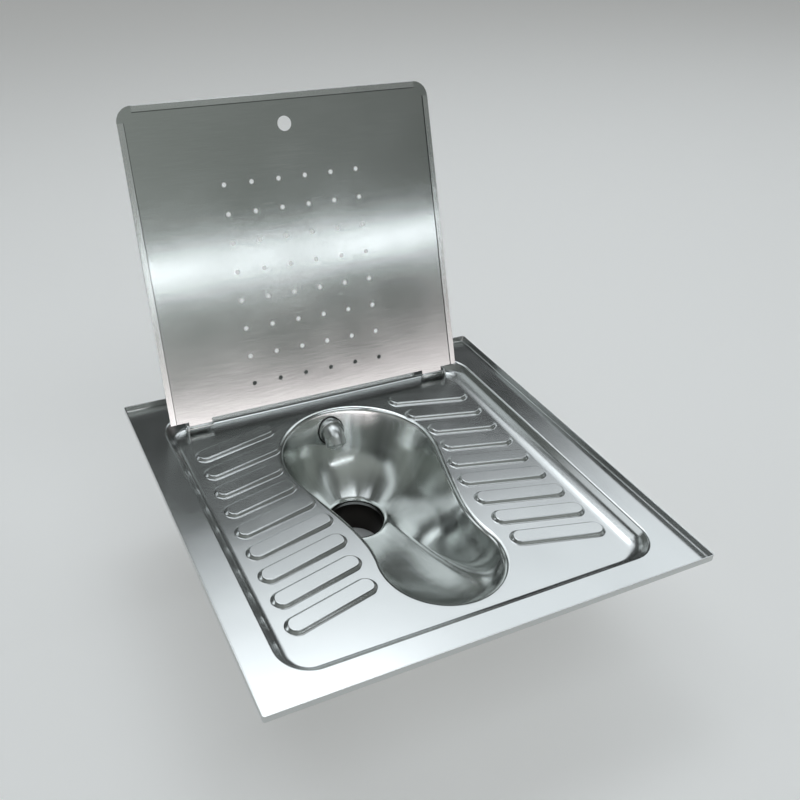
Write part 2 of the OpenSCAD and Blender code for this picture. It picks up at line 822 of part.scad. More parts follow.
// Headed pin: through the lug, the spacer and the lid's knuckle
module hinge_pin(side) {
  tail_x = tab_x - tab_w / 2 - pin_tip;
  head_x = tab_x + tab_w / 2 + lug_gap + lug_t + snug;
  color("#d4d7d8")
    in_place()
      translate([0, hinge_y, -hinge_z])
        mirror([side < 0 ? 1 : 0, 0, 0])
          rotate([0, 90, 0]) {
            translate([0, 0, tail_x])
              cylinder(h = head_x - tail_x, r = pin_r, $fn = fine);
            translate([0, 0, head_x])
              cylinder(h = head_h, r1 = head_r, r2 = head_r - head_ease, $fn = fine);
          }
}

module hinge_pin_left() {
  hinge_pin(-1);
}

module hinge_pin_right() {
  hinge_pin(1);
}

// Spacer rings that keep the tabs off the lugs
module hinge_spacers() {
  color("#dcdedf")
    in_place()
      for (side = [0, 1])
        mirror([side, 0, 0])
          translate([tab_x + tab_w / 2 + spacer_play, hinge_y, -hinge_z])
            rotate([0, 90, 0])
              difference() {
                cylinder(h = lug_gap - 2 * spacer_play, r = spacer_r, $fn = fine);
                translate([0, 0, -cut])
                  cylinder(h = lug_gap + 2 * cut, r = pin_r + snug, $fn = fine);
              }
}

// Hat-section brace welded below a row of treads
module brace(side) {
  color("#9da3a5")
    in_place()
      translate([side * brace_x, brace_l / 2, under_z])
        rotate([90, 0, 0])
          linear_extrude(height = brace_l)
            difference() {
              union() {
                translate([-brace_w / 2, -brace_h])
                  square([brace_w, brace_h]);
                translate([-brace_w / 2 - flange_w, -brace_t])
                  square([brace_w + 2 * flange_w, brace_t]);
              }
              translate([brace_t - brace_w / 2, brace_t - brace_h])
                square([brace_w - 2 * brace_t, brace_h]);
            }
}

module brace_left() {
  brace(-1);
}

module brace_right() {
  brace(1);
}

// Bent strips welded below the recess, screwed down and bedded in the floor
module fixing_lugs() {
  foot = 2 * fixing_reach + brace_t;
  color("#9da3a5")
    in_place()
      for (side = [0, 1], end = [-1, 1])
        mirror([side, 0, 0])
          translate([fixing_x - fixing_reach - brace_t, end * fixing_y, under_z - fixing_h])
            difference() {
              union() {
                translate([0, -fixing_w / 2, 0])
                  cube([brace_t, fixing_w, fixing_h]);
                translate([0, -fixing_w / 2, 0])
                  cube([foot, fixing_w, brace_t]);
              }
              translate([fixing_reach + brace_t, 0, -cut])
                cylinder(h = brace_t + 2 * cut, r = fixing_r, $fn = fine);
            }
}

// Tag that hangs below the recess for the earth wire
module earth_tag() {
  color("#b7bcbe")
    in_place()
      earth_place()
        difference() {
          translate([-earth_w / 2, 0, -earth_h])
            cube([earth_w, brace_t, earth_h]);
          translate([0, -cut, earth_up - earth_h])
            rotate([-90, 0, 0])
              cylinder(h = brace_t + 2 * cut, r = earth_r + snug, $fn = fine);
        }
}

module earth_place() {
  translate([earth_x, earth_y, under_z])
    children();
}

// Hexagon-headed screw through the tag
module earth_screw() {
  color("#c8a75a")
    in_place()
      earth_place()
        translate([0, brace_t + snug, earth_up - earth_h])
          rotate([-90, 0, 0]) {
            cylinder(h = earth_head, r = earth_hex / 2, $fn = 6);
            translate([0, 0, -earth_l])
              cylinder(h = earth_l, r = earth_r, $fn = fine);
          }
}

// Nut on the earth screw
module earth_nut() {
  color("#c8a75a")
    in_place()
      earth_place()
        translate([0, -snug, earth_up - earth_h])
          rotate([90, 0, 0])
            difference() {
              cylinder(h = earth_nut_h, r = earth_hex / 2, $fn = 6);
              translate([0, 0, -cut])
                cylinder(h = earth_nut_h + 2 * cut, r = earth_r + snug, $fn = fine);
            }
}

deck_tray();
bowl_back();
bowl_front();
outlet_spigot();
outlet_seal();
flush_spout();
spout_nozzle();
spout_collar();
spout_gasket();
spout_seat();
spout_backnut();
inlet_sleeve();
lid_plate();
hinge_lug_left();
hinge_lug_right();
hinge_pin_left();
hinge_pin_right();
hinge_spacers();
brace_left();
brace_right();
fixing_lugs();
earth_tag();
earth_screw();
earth_nut();
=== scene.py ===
import math

import bmesh
import bpy
from mathutils import Matrix, Vector


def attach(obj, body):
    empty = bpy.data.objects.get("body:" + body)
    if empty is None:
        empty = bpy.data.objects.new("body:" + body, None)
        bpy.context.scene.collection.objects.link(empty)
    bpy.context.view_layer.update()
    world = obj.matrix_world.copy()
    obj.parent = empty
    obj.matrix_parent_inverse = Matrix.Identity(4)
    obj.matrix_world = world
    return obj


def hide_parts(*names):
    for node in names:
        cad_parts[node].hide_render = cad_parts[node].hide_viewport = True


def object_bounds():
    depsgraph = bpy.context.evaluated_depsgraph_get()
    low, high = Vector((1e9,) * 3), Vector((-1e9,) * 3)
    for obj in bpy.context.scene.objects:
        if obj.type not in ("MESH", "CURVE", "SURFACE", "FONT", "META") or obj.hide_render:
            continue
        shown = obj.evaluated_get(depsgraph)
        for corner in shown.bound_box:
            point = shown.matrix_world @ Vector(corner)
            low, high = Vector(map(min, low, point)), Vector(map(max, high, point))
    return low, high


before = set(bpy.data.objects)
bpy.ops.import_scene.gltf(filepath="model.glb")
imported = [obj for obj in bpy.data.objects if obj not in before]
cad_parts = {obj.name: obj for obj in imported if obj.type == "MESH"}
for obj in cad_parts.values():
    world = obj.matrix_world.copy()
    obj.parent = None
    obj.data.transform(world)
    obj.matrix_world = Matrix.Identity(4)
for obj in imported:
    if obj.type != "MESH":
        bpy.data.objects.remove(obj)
cad_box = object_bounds()
bpy.ops.object.select_all(action="DESELECT")

# ---- The tray ----
# The real piece is one square of 1.5 mm stainless sheet, with an upstand lip folded up all
# round. The recess and its eighteen foot treads are pressed in, and the bowl's mouth is cut
# out. Everything else is welded, screwed or hinged to it.
MM = 0.001
SHEET = 1.5
MIDDLE = 279.5  # from the part's origin, under the front rim, back to the tray's middle
TRAY = 600
LIP, LIP_ROUND, LIP_STEPS = 9.5, 1.5, 4
RECESS = (514, 518)
RECESS_CORNER, CORNER_STEPS = 43, 14
RECESS_DEEP, RECESS_RUN = 18, 11
BORDER = 7  # a flat ring of the blank, kept round the recess
FOLD, FOLD_STEPS = 15.5, 12  # the widest fold, along the foot of the right-hand wall
TOP_FOLD, BACK_FOLD = 2.2, 2.8
NARROW = 0.45  # share of it that the folds on the left and in front have
NEAR = 1e-6  # metres: closer than this is the same place


def at(x, y, z):
    """A place in the part's own frame, in metres."""
    return Vector((x * MM, (y + MIDDLE) * MM, (z + SHEET) * MM))


def pick(piece, kind, wanted):
    """In edit mode, selects just the vertices, edges or faces that wanted says yes to."""
    bpy.ops.mesh.select_mode(type=kind)
    bpy.ops.mesh.select_all(action="DESELECT")
    mesh = bmesh.from_edit_mesh(piece.data)
    for item in {"VERT": mesh.verts, "EDGE": mesh.edges, "FACE": mesh.faces}[kind]:
        if wanted(item):
            item.select_set(True)
    bmesh.update_edit_mesh(piece.data)


def only(piece):
    """Leaves edit mode with just this piece selected."""
    if bpy.context.object and bpy.context.object.mode == "EDIT":
        bpy.ops.object.mode_set(mode="OBJECT")
    bpy.ops.object.select_all(action="DESELECT")
    piece.select_set(True)
    bpy.context.view_layer.objects.active = piece


def edit(piece):
    only(piece)
    bpy.ops.object.mode_set(mode="EDIT")


def shape_with(piece, kind, **settings):
    """Adds a modifier and applies it at once."""
    only(piece)
    modifier = piece.modifiers.new(kind.lower(), kind)
    for name, value in settings.items():
        setattr(modifier, name, value)
    bpy.ops.object.modifier_apply(modifier=modifier.name)


def combine(piece, tool, how):
    """Cuts a closed tool out of a piece or welds it on, and takes the tool away."""
    shape_with(piece, "TRIANGULATE", min_vertices=5)
    shape_with(piece, "BOOLEAN", object=tool, operation=how, solver="EXACT")
    bpy.data.objects.remove(tool)


def face_out(piece):
    """Turns a closed piece's faces outwards, and leaves edit mode."""
    bpy.ops.mesh.select_all(action="SELECT")
    bpy.ops.mesh.normals_make_consistent(inside=False)
    only(piece)


def join(pieces):
    """Joins pieces into the first of them."""
    only(pieces[0])
    for piece in pieces:
        piece.select_set(True)
    bpy.ops.object.join()
    return pieces[0]


def settle(piece, name):
    """Puts a piece's place, turn and scale into its mesh, and names it."""
    only(piece)
    bpy.ops.object.transform_apply(location=True, rotation=True, scale=True)
    piece.name = piece.data.name = name
    return piece


SHARP = 50  # degrees: an edge sharper than this stays one
SAME_PLANE = 0.999999  # cosine of the turn between faces of one flat
WIDE_FLAT, FLAT_SHARE = 9e-4, 60  # a flat counts above 9 cm² or a 60th of the piece
ROUND_PULL = 1e-7  # what a small face counts for, beside the area of a wide flat


def smooth(piece):
    """Shades round forms round, and gives a corner that touches a flat the flat's normal."""
    only(piece)
    bpy.ops.object.shade_smooth()
    mesh = bmesh.new()
    mesh.from_mesh(piece.data)
    flat_of, areas = {}, []
    for start in mesh.faces:
        if start in flat_of:
            continue
        flat_of[start] = len(areas)
        flat = [start]
        for face in flat:
            for edge in face.edges:
                for other in edge.link_faces:
                    same = other.normal.dot(start.normal) > SAME_PLANE
                    if same and other not in flat_of:
                        flat_of[other] = len(areas)
                        flat.append(other)
        areas.append(sum(face.calc_area() for face in flat))
    wide = min(WIDE_FLAT, sum(areas) / FLAT_SHARE)
    turn = math.cos(math.radians(SHARP))
    normals = []
    for face in mesh.faces:
        for corner in face.loops:
            lean = Vector()
            for near in corner.vert.link_loops:
                other = near.face
                if other.normal.dot(face.normal) > turn:
                    area = areas[flat_of[other]]
                    pull = area if area > wide else ROUND_PULL * near.calc_angle()
                    lean += other.normal * pull
            normals.append(lean.normalized())
    mesh.free()
    piece.data.normals_split_custom_set(normals)


# The recess: a rounded blank, taken in and down, then every fold gets its press radius.
# The fold at the foot of the wall is widest on the right and tightest at the back. The flat
# rim fills what is left out to the square of the lip.
bpy.ops.mesh.primitive_plane_add(size=1, location=at(0, 0, 0))
tray = bpy.context.object
tray.scale = [(side + 2 * BORDER) * MM for side in RECESS] + [1]
bpy.ops.object.transform_apply(location=True, rotation=True, scale=True)
edit(tray)
bpy.ops.mesh.select_all(action="SELECT")
bpy.ops.mesh.bevel(
    offset=(RECESS_CORNER + BORDER) * MM, segments=CORNER_STEPS, affect="VERTICES"
)
bpy.ops.mesh.inset(thickness=BORDER * MM)
bpy.ops.mesh.inset(thickness=RECESS_RUN * MM, depth=-RECESS_DEEP * MM)
only(tray)
middle = at(0, 0, 0)
corner_run = (RECESS_CORNER - RECESS_RUN) * MM
folds = tray.data.attributes.new("bevel_weight_edge", "FLOAT", "EDGE").data
for e in tray.data.edges:
    a, b = (tray.data.vertices[i].co - middle for i in e.vertices)
    past_recess = [
        max(abs(a[i]), abs(b[i])) > (RECESS[i] + BORDER) / 2 * MM for i in (0, 1)
    ]
    round_corner = [
        ((a[i] + b[i]) / 2 - (RECESS[i] / 2 - RECESS_CORNER) * MM) / corner_run
        for i in (0, 1)
    ]
    to_right, to_back = (min(1, max(0, share)) for share in round_corner)
    if abs(a.z - b.z) > NEAR:
        continue
    if a.z > -1 * MM:
        folds[e.index].value = 0 if any(past_recess) else TOP_FOLD / FOLD
    else:
        front = NARROW + (1 - NARROW) * to_right
        folds[e.index].value = front + (BACK_FOLD / FOLD - front) * to_back
shape_with(
    tray, "BEVEL", width=FOLD * MM, segments=FOLD_STEPS, limit_method="WEIGHT",
    use_clamp_overlap=False,
)
edit(tray)
inner_lip = TRAY - 2 * SHEET
bpy.ops.mesh.primitive_plane_add(size=inner_lip * MM, location=at(0, 0, 0))
bpy.ops.mesh.inset(thickness=BORDER * MM)
bpy.ops.mesh.delete(type="ONLY_FACE")
edge_at = inner_lip / 2 * MM - 10 * NEAR


def sides_reached(e):
    """On how many of the square's sides an edge lies: none, one, or two at a corner."""
    return sum(all(abs((v.co - middle)[i]) > edge_at for v in e.verts) for i in (0, 1))


pick(tray, "EDGE", lambda e: e.is_boundary and not sides_reached(e))
bpy.ops.mesh.fill()
bpy.ops.mesh.select_all(action="SELECT")
bpy.ops.mesh.normals_make_consistent(inside=False)
if max(f.normal.z for f in bmesh.from_edit_mesh(tray.data).faces) < 0.5:
    bpy.ops.mesh.flip_normals()

# The lip is folded up round the square, with a radius of its own.
pick(tray, "EDGE", lambda e: e.is_boundary and sides_reached(e))
bpy.ops.mesh.extrude_edges_move(TRANSFORM_OT_translate={"value": (0, 0, LIP * MM)})


def lip_fold(e):
    at_foot = all(abs(v.co.z - middle.z) < 10 * NEAR for v in e.verts)
    upright = abs(e.verts[0].co.z - e.verts[1].co.z) > 100 * NEAR
    return (at_foot and sides_reached(e)) or (upright and sides_reached(e) == 2)


pick(tray, "EDGE", lip_fold)
bpy.ops.mesh.bevel(
    offset=LIP_ROUND * MM, segments=LIP_STEPS, affect="EDGES", clamp_overlap=False
)
bpy.ops.object.mode_set(mode="OBJECT")
settle(tray, "tray")
shape_with(tray, "SOLIDIFY", thickness=SHEET * MM, offset=-1, use_even_offset=True)

# The bowl's mouth is a keyhole: a round back part and a narrower lobe with a pinched waist.
BACK_R, BACK_Y = 121, 96
LOBE_R, LOBE_Y = 87, -143
ARC_STEPS, WAIST_STEPS, LOBE_STEPS = 60, 26, 44
PINCH_BACK, PINCH_LOBE = 7, 20  # degrees that the waist cuts into each circle at the rim
OPEN_OUT, LATE = 22, 8  # degrees that it opens out by at the outlet, and how late it does
LEAST_APART = 5  # mm between the circles' centres, below which the tangent stays put
# Share of the waist that each end's handle reaches, at the rim and, added, at the outlet.
HANDLE_BACK, HANDLE_LOBE = (0.6, -0.25), (0.25, 0.1)


def half_keyhole(back_r, lobe_r, lobe_y, fade):
    """Right half of the outline. fade runs from 0 at the rim to 1 at the round outlet."""
    slope = (back_r - lobe_r) / max(BACK_Y - lobe_y, LEAST_APART)
    tangent = math.degrees(math.asin(min(1, max(-1, slope))))
    kept, spread = 1 - fade**LATE, OPEN_OUT * fade**LATE
    a_back = -tangent * kept - PINCH_BACK * (1 - fade) + spread
    a_lobe = -tangent * kept + PINCH_LOBE * (1 - fade) - spread

    def on_circle(r, y, degrees):
        a = math.radians(degrees)
        return Vector((r * math.cos(a), y + r * math.sin(a)))

    def heading(degrees):
        a = math.radians(degrees)
        return Vector((math.sin(a), -math.cos(a)))

    p0, p3 = on_circle(back_r, BACK_Y, a_back), on_circle(lobe_r, lobe_y, a_lobe)
    long = (p3 - p0).length
    p1 = p0 + long * (HANDLE_BACK[0] + HANDLE_BACK[1] * fade) * heading(a_back)
    p2 = p3 - long * (HANDLE_LOBE[0] + HANDLE_LOBE[1] * fade) * heading(a_lobe)
    line = [
        on_circle(back_r, BACK_Y, 90 + (a_back - 90) * i / ARC_STEPS)
        for i in range(ARC_STEPS + 1)
    ]
    for i in range(1, WAIST_STEPS):
        u = i / WAIST_STEPS
        w = 1 - u
        line.append(w**3 * p0 + 3 * u * w * w * p1 + 3 * u * u * w * p2 + u**3 * p3)
    line += [
        on_circle(lobe_r, lobe_y, a_lobe - (a_lobe + 90) * i / LOBE_STEPS)
        for i in range(LOBE_STEPS + 1)
    ]
    return line


def keyhole(back_r, lobe_r, lobe_y, fade):
    right = half_keyhole(back_r, lobe_r, lobe_y, fade)
    return right + [Vector((-p.x, p.y)) for p in right[-2:0:-1]]


def prism(points, low, high, name):
    """A closed upright tool with this outline, made by filling a loop and extruding it."""
    mesh = bpy.data.meshes.new(name)
    mesh.from_pydata([at(p[0], p[1], low) for p in points], [], [range(len(points))])
    tool = bpy.data.objects.new(name, mesh)
    bpy.context.collection.objects.link(tool)
    edit(tool)
    bpy.ops.mesh.select_all(action="SELECT")
    bpy.ops.mesh.extrude_region_move(
        TRANSFORM_OT_translate={"value": (0, 0, (high - low) * MM)}
    )
    face_out(tool)
    return tool


CUT = 4  # how far the mouth's tool stands above and below the recess floor
mouth_tool = prism(
    keyhole(BACK_R, LOBE_R, LOBE_Y, 0), -RECESS_DEEP - CUT, -RECESS_DEEP + CUT, "mouth_tool"
)
combine(tray, mouth_tool, "DIFFERENCE")

# The treads are pressed up from below: a flat pad with soft S-shaped shoulders, the same
# press on each side, splayed towards the hinge, each as long as the bowl leaves room for.
TREADS, TREAD_SIDES, SHOULDER_STEPS = 9, 36, 9
TREAD_PITCH, TREAD_WIDE, TREAD_HIGH = 43.8, 30, 4.5
TREAD_SHOULDER, TREAD_SPLAY = 5.6, 13.5
TREAD_REACH, TREAD_BACK, TREAD_INNER, TREAD_GAP = 213.5, 171, 99, 1
TREAD_SKIRT, TREAD_SINK = 0.5, 0.7  # how far the pad's foot runs out, and into the floor
TREAD_FOOT = 0.03  # the upright part of a shoulder, at its foot
HOLLOW_IN, HOLLOW_SINK = 0.7, SHEET + 1  # the same for the hollow below, which is narrower
mouth_right = half_keyhole(BACK_R, LOBE_R, LOBE_Y, 0)


def mouth_half_width(y):
    for a, b in zip(mouth_right, mouth_right[1:]):
        if min(a.y, b.y) <= y <= max(a.y, b.y) and a.y != b.y:
            return a.x + (b.x - a.x) * (y - a.y) / (b.y - a.y)
    return 0


def tread_run(i):
    """Length of a tread from its outer end centre to its inner one."""
    x, y = TREAD_REACH, TREAD_BACK - i * TREAD_PITCH
    end = TREAD_WIDE / 2
    splay = math.radians(TREAD_SPLAY)
    rough = (x - TREAD_INNER - end) / math.cos(splay)
    tip_y = y + (rough + end) * math.sin(splay)
    tip_x = max(TREAD_INNER, mouth_half_width(tip_y) + TREAD_GAP)
    return (x - tip_x) / math.cos(splay) - end


def tread_press(half, high, sink):
    """All eighteen pads as one closed tool, from the same outline stretched to length."""
    made = []
    for side in (1, -1):
        for i in range(TREADS):
            bpy.ops.mesh.primitive_circle_add(
                vertices=TREAD_SIDES, radius=half * MM, fill_type="NGON",
                location=(0, 0, 0), rotation=(0, 0, math.pi / TREAD_SIDES),
            )
            pad = bpy.context.object
            bpy.ops.object.transform_apply(location=True, rotation=True, scale=True)
            edit(pad)
            pick(pad, "VERT", lambda v: v.co.x < 0)
            bpy.ops.transform.translate(value=(-tread_run(i) * MM, 0, 0))
            bpy.ops.mesh.select_all(action="SELECT")
            bpy.ops.mesh.extrude_region_move(
                TRANSFORM_OT_translate={"value": (0, 0, (sink + TREAD_FOOT) * MM)}
            )
            bpy.ops.mesh.select_mode(type="FACE")
            for k in range(SHOULDER_STEPS):
                a, b = (j / SHOULDER_STEPS for j in (k, k + 1))
                rise = b * b * (3 - 2 * b) - a * a * (3 - 2 * a)
                bpy.ops.mesh.inset(
                    thickness=TREAD_SHOULDER * (b - a) * MM,
                    depth=(high - TREAD_FOOT) * rise * MM,
                )
            face_out(pad)
            pad.data.transform(
                Matrix.Translation(at(TREAD_REACH, TREAD_BACK - i * TREAD_PITCH, -RECESS_DEEP))
                @ Matrix.Rotation(math.radians(-TREAD_SPLAY), 4, "Z")
                @ Matrix.Translation((0, 0, -sink * MM))
            )
            if side < 0:
                pad.data.transform(Matrix.Scale(-1, 4, (1, 0, 0)))
                pad.data.flip_normals()
            made.append(pad)
    return join(made)


combine(tray, tread_press(TREAD_WIDE / 2 + TREAD_SKIRT, TREAD_HIGH, TREAD_SINK), "UNION")
combine(
    tray, tread_press(TREAD_WIDE / 2 - HOLLOW_IN, TREAD_HIGH - SHEET, HOLLOW_SINK),
    "DIFFERENCE",
)
# The lip's sheared edge is deburred.
DEBURR = 0.35
edit(tray)
pick(
    tray, "EDGE", lambda e: all(abs(v.co.z - at(0, 0, LIP).z) < 10 * NEAR for v in e.verts)
)
bpy.ops.mesh.bevel(offset=DEBURR * MM, segments=2, affect="EDGES")
shape_with(tray, "TRIANGULATE", min_vertices=5)
smooth(tray)


# Satin stainless, grade 304: pressed, then dulled with a fine abrasive belt. The eye gets
# a soft broad sheen, a faint grain from side to side, and a slow ripple left by the press.
# Here and on the other metals, the real scratches are about a tenth of a millimetre wide,
# too fine for the render, so the grain is drawn as coarse as it needs to show.
def linear(hex_colour):
    """An sRGB hex colour as linear RGBA."""
    parts = [int(hex_colour[i : i + 2], 16) / 255 for i in (1, 3, 5)]
    return [c / 12.92 if c <= 0.04045 else ((c + 0.055) / 1.055) ** 2.4 for c in parts] + [1]


def add(tree, kind, inputs=None, **own):
    """Adds a node. inputs holds values or the sockets that feed it, by name or number."""
    node = tree.nodes.new(kind)
    for name, value in own.items():
        setattr(node, name, value)
    for key, value in (inputs or {}).items():
        if isinstance(value, bpy.types.NodeSocket):
            tree.links.new(value, node.inputs[key])
        else:
            node.inputs[key].default_value = value
    return node


def shader_of(material):
    return next(n for n in material.node_tree.nodes if n.type == "BSDF_PRINCIPLED")


def new_material(name, metallic=0):
    """A new material, with its nodes and the place on the piece that its patterns read."""
    material = bpy.data.materials.new(name)
    material.use_nodes = True
    tree = material.node_tree
    shader_of(material).inputs["Metallic"].default_value = metallic
    return material, tree, add(tree, "ShaderNodeTexCoord").outputs["Object"]


WEAK, STRONG = 0.3, 0.7  # most of a noise lies between these
FAINTEST, BOLDEST = 0.25, 0.75  # and nearly all of it between these
PATCHES = 0.03  # how much duller or brighter a patch is than the rest
DENT, SCRATCH = 0.01, 0.0004  # metres of height that a bump's strength is a share of


def weather(material, place, grain, colour, tones, dull, fine, ripple):
    """Tones, dulls and dents a metal by its grain, and by a slow ripple in its sheet.

    dull is the least and the most roughness, and what the patches add. fine is the
    strength and the height in metres of the grain's bump, and ripple is the strength of
    the sheet's and its size in mm.
    """
    tree, shader = material.node_tree, shader_of(material)
    cloud = add(
        tree, "ShaderNodeTexNoise",
        {"Vector": place, "Scale": 1 / (ripple[1] * MM), "Detail": 2, "Roughness": 0.45},
    ).outputs["Fac"]
    dullness, patch, tone = (
        add(
            tree, "ShaderNodeMapRange",
            {"Value": value, "From Min": low, "From Max": high, "To Min": a, "To Max": b},
        ).outputs[0]
        for value, low, high, a, b in (
            (grain, WEAK, STRONG, dull[0], dull[1]),
            (cloud, WEAK, STRONG, -dull[2], dull[2]),
            (grain, FAINTEST, BOLDEST, tones[0], tones[1]),
        )
    )
    tree.links.new(
        add(tree, "ShaderNodeMath", {0: dullness, 1: patch}, operation="ADD").outputs[0],
        shader.inputs["Roughness"],
    )
    tint = add(
        tree, "ShaderNodeMix", {"Factor": 1, "A": linear(colour)},
        data_type="RGBA", blend_type="MULTIPLY",
    )
    tree.links.new(tone, tint.inputs["B"])
    tree.links.new(tint.outputs["Result"], shader.inputs["Base Color"])
    dents = add(
        tree, "ShaderNodeBump", {"Strength": ripple[0], "Distance": DENT, "Height": cloud}
    ).outputs[0]
    bump = add(
        tree, "ShaderNodeBump",
        {"Strength": fine[0], "Distance": fine[1], "Height": grain, "Normal": dents},
    ).outputs[0]
    tree.links.new(bump, shader.inputs["Normal"])


def metal(name, colour, grain, dull, scratches, ripple, tones=(0.93, 1.04)):
    """A metal with a grain of this size along X, Y and Z in mm."""
    material, tree, place = new_material(name, metallic=1)
    stretched = add(
        tree, "ShaderNodeMapping",
        {"Vector": place, "Scale": [1 / (g * MM) for g in grain]},
    ).outputs[0]
    fibres = add(
        tree, "ShaderNodeTexNoise",
        {"Vector": stretched, "Scale": 1, "Detail": 3, "Roughness": 0.6},
    ).outputs["Fac"]
    weather(
        material, place, fibres, colour, tones, (*dull, PATCHES), (scratches, SCRATCH), ripple
    )
    return material


tray_steel = metal(
    "satin_pressed_stainless", "#c9cbca", (14, 1.2, 1.2), (0.21, 0.24), 0.002, (0.03, 110),
    tones=(0.98, 1.01),
)


def dress(piece, material, body, slot, *stands_for):
    """Gives a finished piece its material, its body and the CAD nodes that it stands for."""
    piece.data.materials.clear()
    piece.data.materials.append(material)
    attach(piece, body)
    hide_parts(*stands_for)


dress(tray, tray_steel, "base", "tray_steel", "deck_tray")

# ---- The bowl ----
# The real piece is deep-drawn from stainless sheet and polished inside: a round well over
# the outlet, and a chute that climbs from it to the front lobe. Its rolled rim is welded
# into the tray's mouth. Its sides follow a curve at every level, so it is lofted in code.
ROLL = 8
BACK_LEAN = math.radians(18)
KNEE_Z, DRAIN_Z, DRAIN_R, NECK = 76, 146, 42, 9
LOBE_BATTER, CHUTE_POWER = 40, 2.6  # the front wall's lean, and how late it levels out
DRAIN_LIP, LIP_FROM = 5, 0.968  # the rounded edge's depth, and the wall's share above it
ROLL_STEPS, WALL_STEPS, EDGE_STEPS = 12, 44, 8
CROWDED = 1.5  # the wall's rings lie closer towards the outlet
roll_turn = math.pi / 2 - BACK_LEAN
wall_z = -RECESS_DEEP - ROLL * (1 - math.cos(roll_turn))
wall_back_r = BACK_R - ROLL * math.sin(roll_turn)
wall_lobe_r = LOBE_R - ROLL * math.sin(roll_turn)
knee_r = wall_back_r - (wall_z + KNEE_Z) * math.tan(BACK_LEAN)
knee_bow = (knee_r - DRAIN_R - (DRAIN_Z - KNEE_Z) * math.tan(BACK_LEAN)) / (
    DRAIN_Z - KNEE_Z
) ** 2
tip_start = LOBE_Y - wall_lobe_r
tip_travel = BACK_Y - DRAIN_R - tip_start


def wall_ring(w):
    """One ring of the wall, w of the way from the roll down to the outlet's edge."""
    z = wall_z - (wall_z + DRAIN_Z) * w
    past = max(0, -z - KNEE_Z)
    back_r = wall_back_r - (wall_z - z) * math.tan(BACK_LEAN) - knee_bow * past * past
    lobe_r = wall_lobe_r + (DRAIN_R - wall_lobe_r) * w
    tip = LOBE_BATTER * w + (tip_travel - LOBE_BATTER) * w**CHUTE_POWER
    return [
        Vector((p.x, p.y, z)) for p in keyhole(back_r, lobe_r, tip_start + tip + lobe_r, w)
    ]


def roll_ring(turn):
    run = ROLL * math.sin(turn)
    return [
        Vector((p.x, p.y, -RECESS_DEEP - ROLL * (1 - math.cos(turn))))
        for p in keyhole(BACK_R - run, LOBE_R - run, LOBE_Y, 0)
    ]


def drain_ring(z):
    return [Vector((p.x, p.y, z)) for p in keyhole(DRAIN_R, DRAIN_R, BACK_Y, 1)]


rings = [roll_ring(roll_turn * i / ROLL_STEPS) for i in range(ROLL_STEPS + 1)]
shares = [1 - (1 - i / WALL_STEPS) ** CROWDED for i in range(WALL_STEPS + 1)]
rings += [wall_ring(w) for w in shares[1:] if w < LIP_FROM]
# The drain's edge is rounded over: a curve from the wall through the edge into the neck.
over_edge = (wall_ring(LIP_FROM), drain_ring(-DRAIN_Z), drain_ring(-DRAIN_Z - DRAIN_LIP))
for i in range(EDGE_STEPS + 1):
    u = i / EDGE_STEPS
    rings.append(
        [(1 - u) ** 2 * a + 2 * u * (1 - u) * b + u * u * c for a, b, c in zip(*over_edge)]
    )
rings.append(drain_ring(-DRAIN_Z - NECK))
around = len(rings[0])
bowl_mesh = bpy.data.meshes.new("bowl")
bowl_mesh.from_pydata(
    [at(*p) for ring in rings for p in ring],
    [],
    [
        (k * around + i, k * around + (i + 1) % around,
         (k + 1) * around + (i + 1) % around, (k + 1) * around + i)
        for k in range(len(rings) - 1)
        for i in range(around)
    ],
)
bowl = bpy.data.objects.new("bowl_shell", bowl_mesh)
bpy.context.collection.objects.link(bowl)
edit(bowl)
bpy.ops.mesh.select_all(action="SELECT")
bpy.ops.mesh.normals_make_consistent(inside=True)
only(bowl)
if bowl.data.polygons[0].normal.z < 0:
    bowl.data.flip_normals()
shape_with(bowl, "SOLIDIFY", thickness=SHEET * MM, offset=-1, use_even_offset=True)

# The hole for the flush spout.
SPOUT_Z, SPOUT_HOLE_R = -49, 22.2
DRILL, DRILL_OUT = 60, 12  # its length, and how far out of the wall its middle is
wall_y = BACK_Y + wall_back_r - (wall_z - SPOUT_Z) * math.tan(BACK_LEAN)
bpy.ops.mesh.primitive_cylinder_add(
    vertices=96, radius=SPOUT_HOLE_R * MM, depth=DRILL * MM,
    location=at(0, wall_y + DRILL_OUT, SPOUT_Z), rotation=(math.pi / 2, 0, 0),
)
combine(bowl, bpy.context.object, "DIFFERENCE")
smooth(bowl)


# Polished drawn stainless: the drawing and the hand polish both run towards the outlet, so
# the grain fans out from it. The eye gets dark metal with long bright streaks.
RAYS = 6  # how many streaks a turn by one radian crosses
STREAK_MARKS, DRAWN_DENTS = (0.08, 0.0015), (0.06, 50)


def from_drain_axis(tree, place):
    """Where a point is, level, from the upright line through the outlet's middle."""
    axis = at(0, BACK_Y, 0)
    moved = add(
        tree, "ShaderNodeVectorMath", {0: place, 1: (axis.x, axis.y, 0)},
        operation="SUBTRACT",
    ).outputs[0]
    return add(
        tree, "ShaderNodeVectorMath", {0: moved, 1: (1, 1, 0)}, operation="MULTIPLY"
    ).outputs[0]


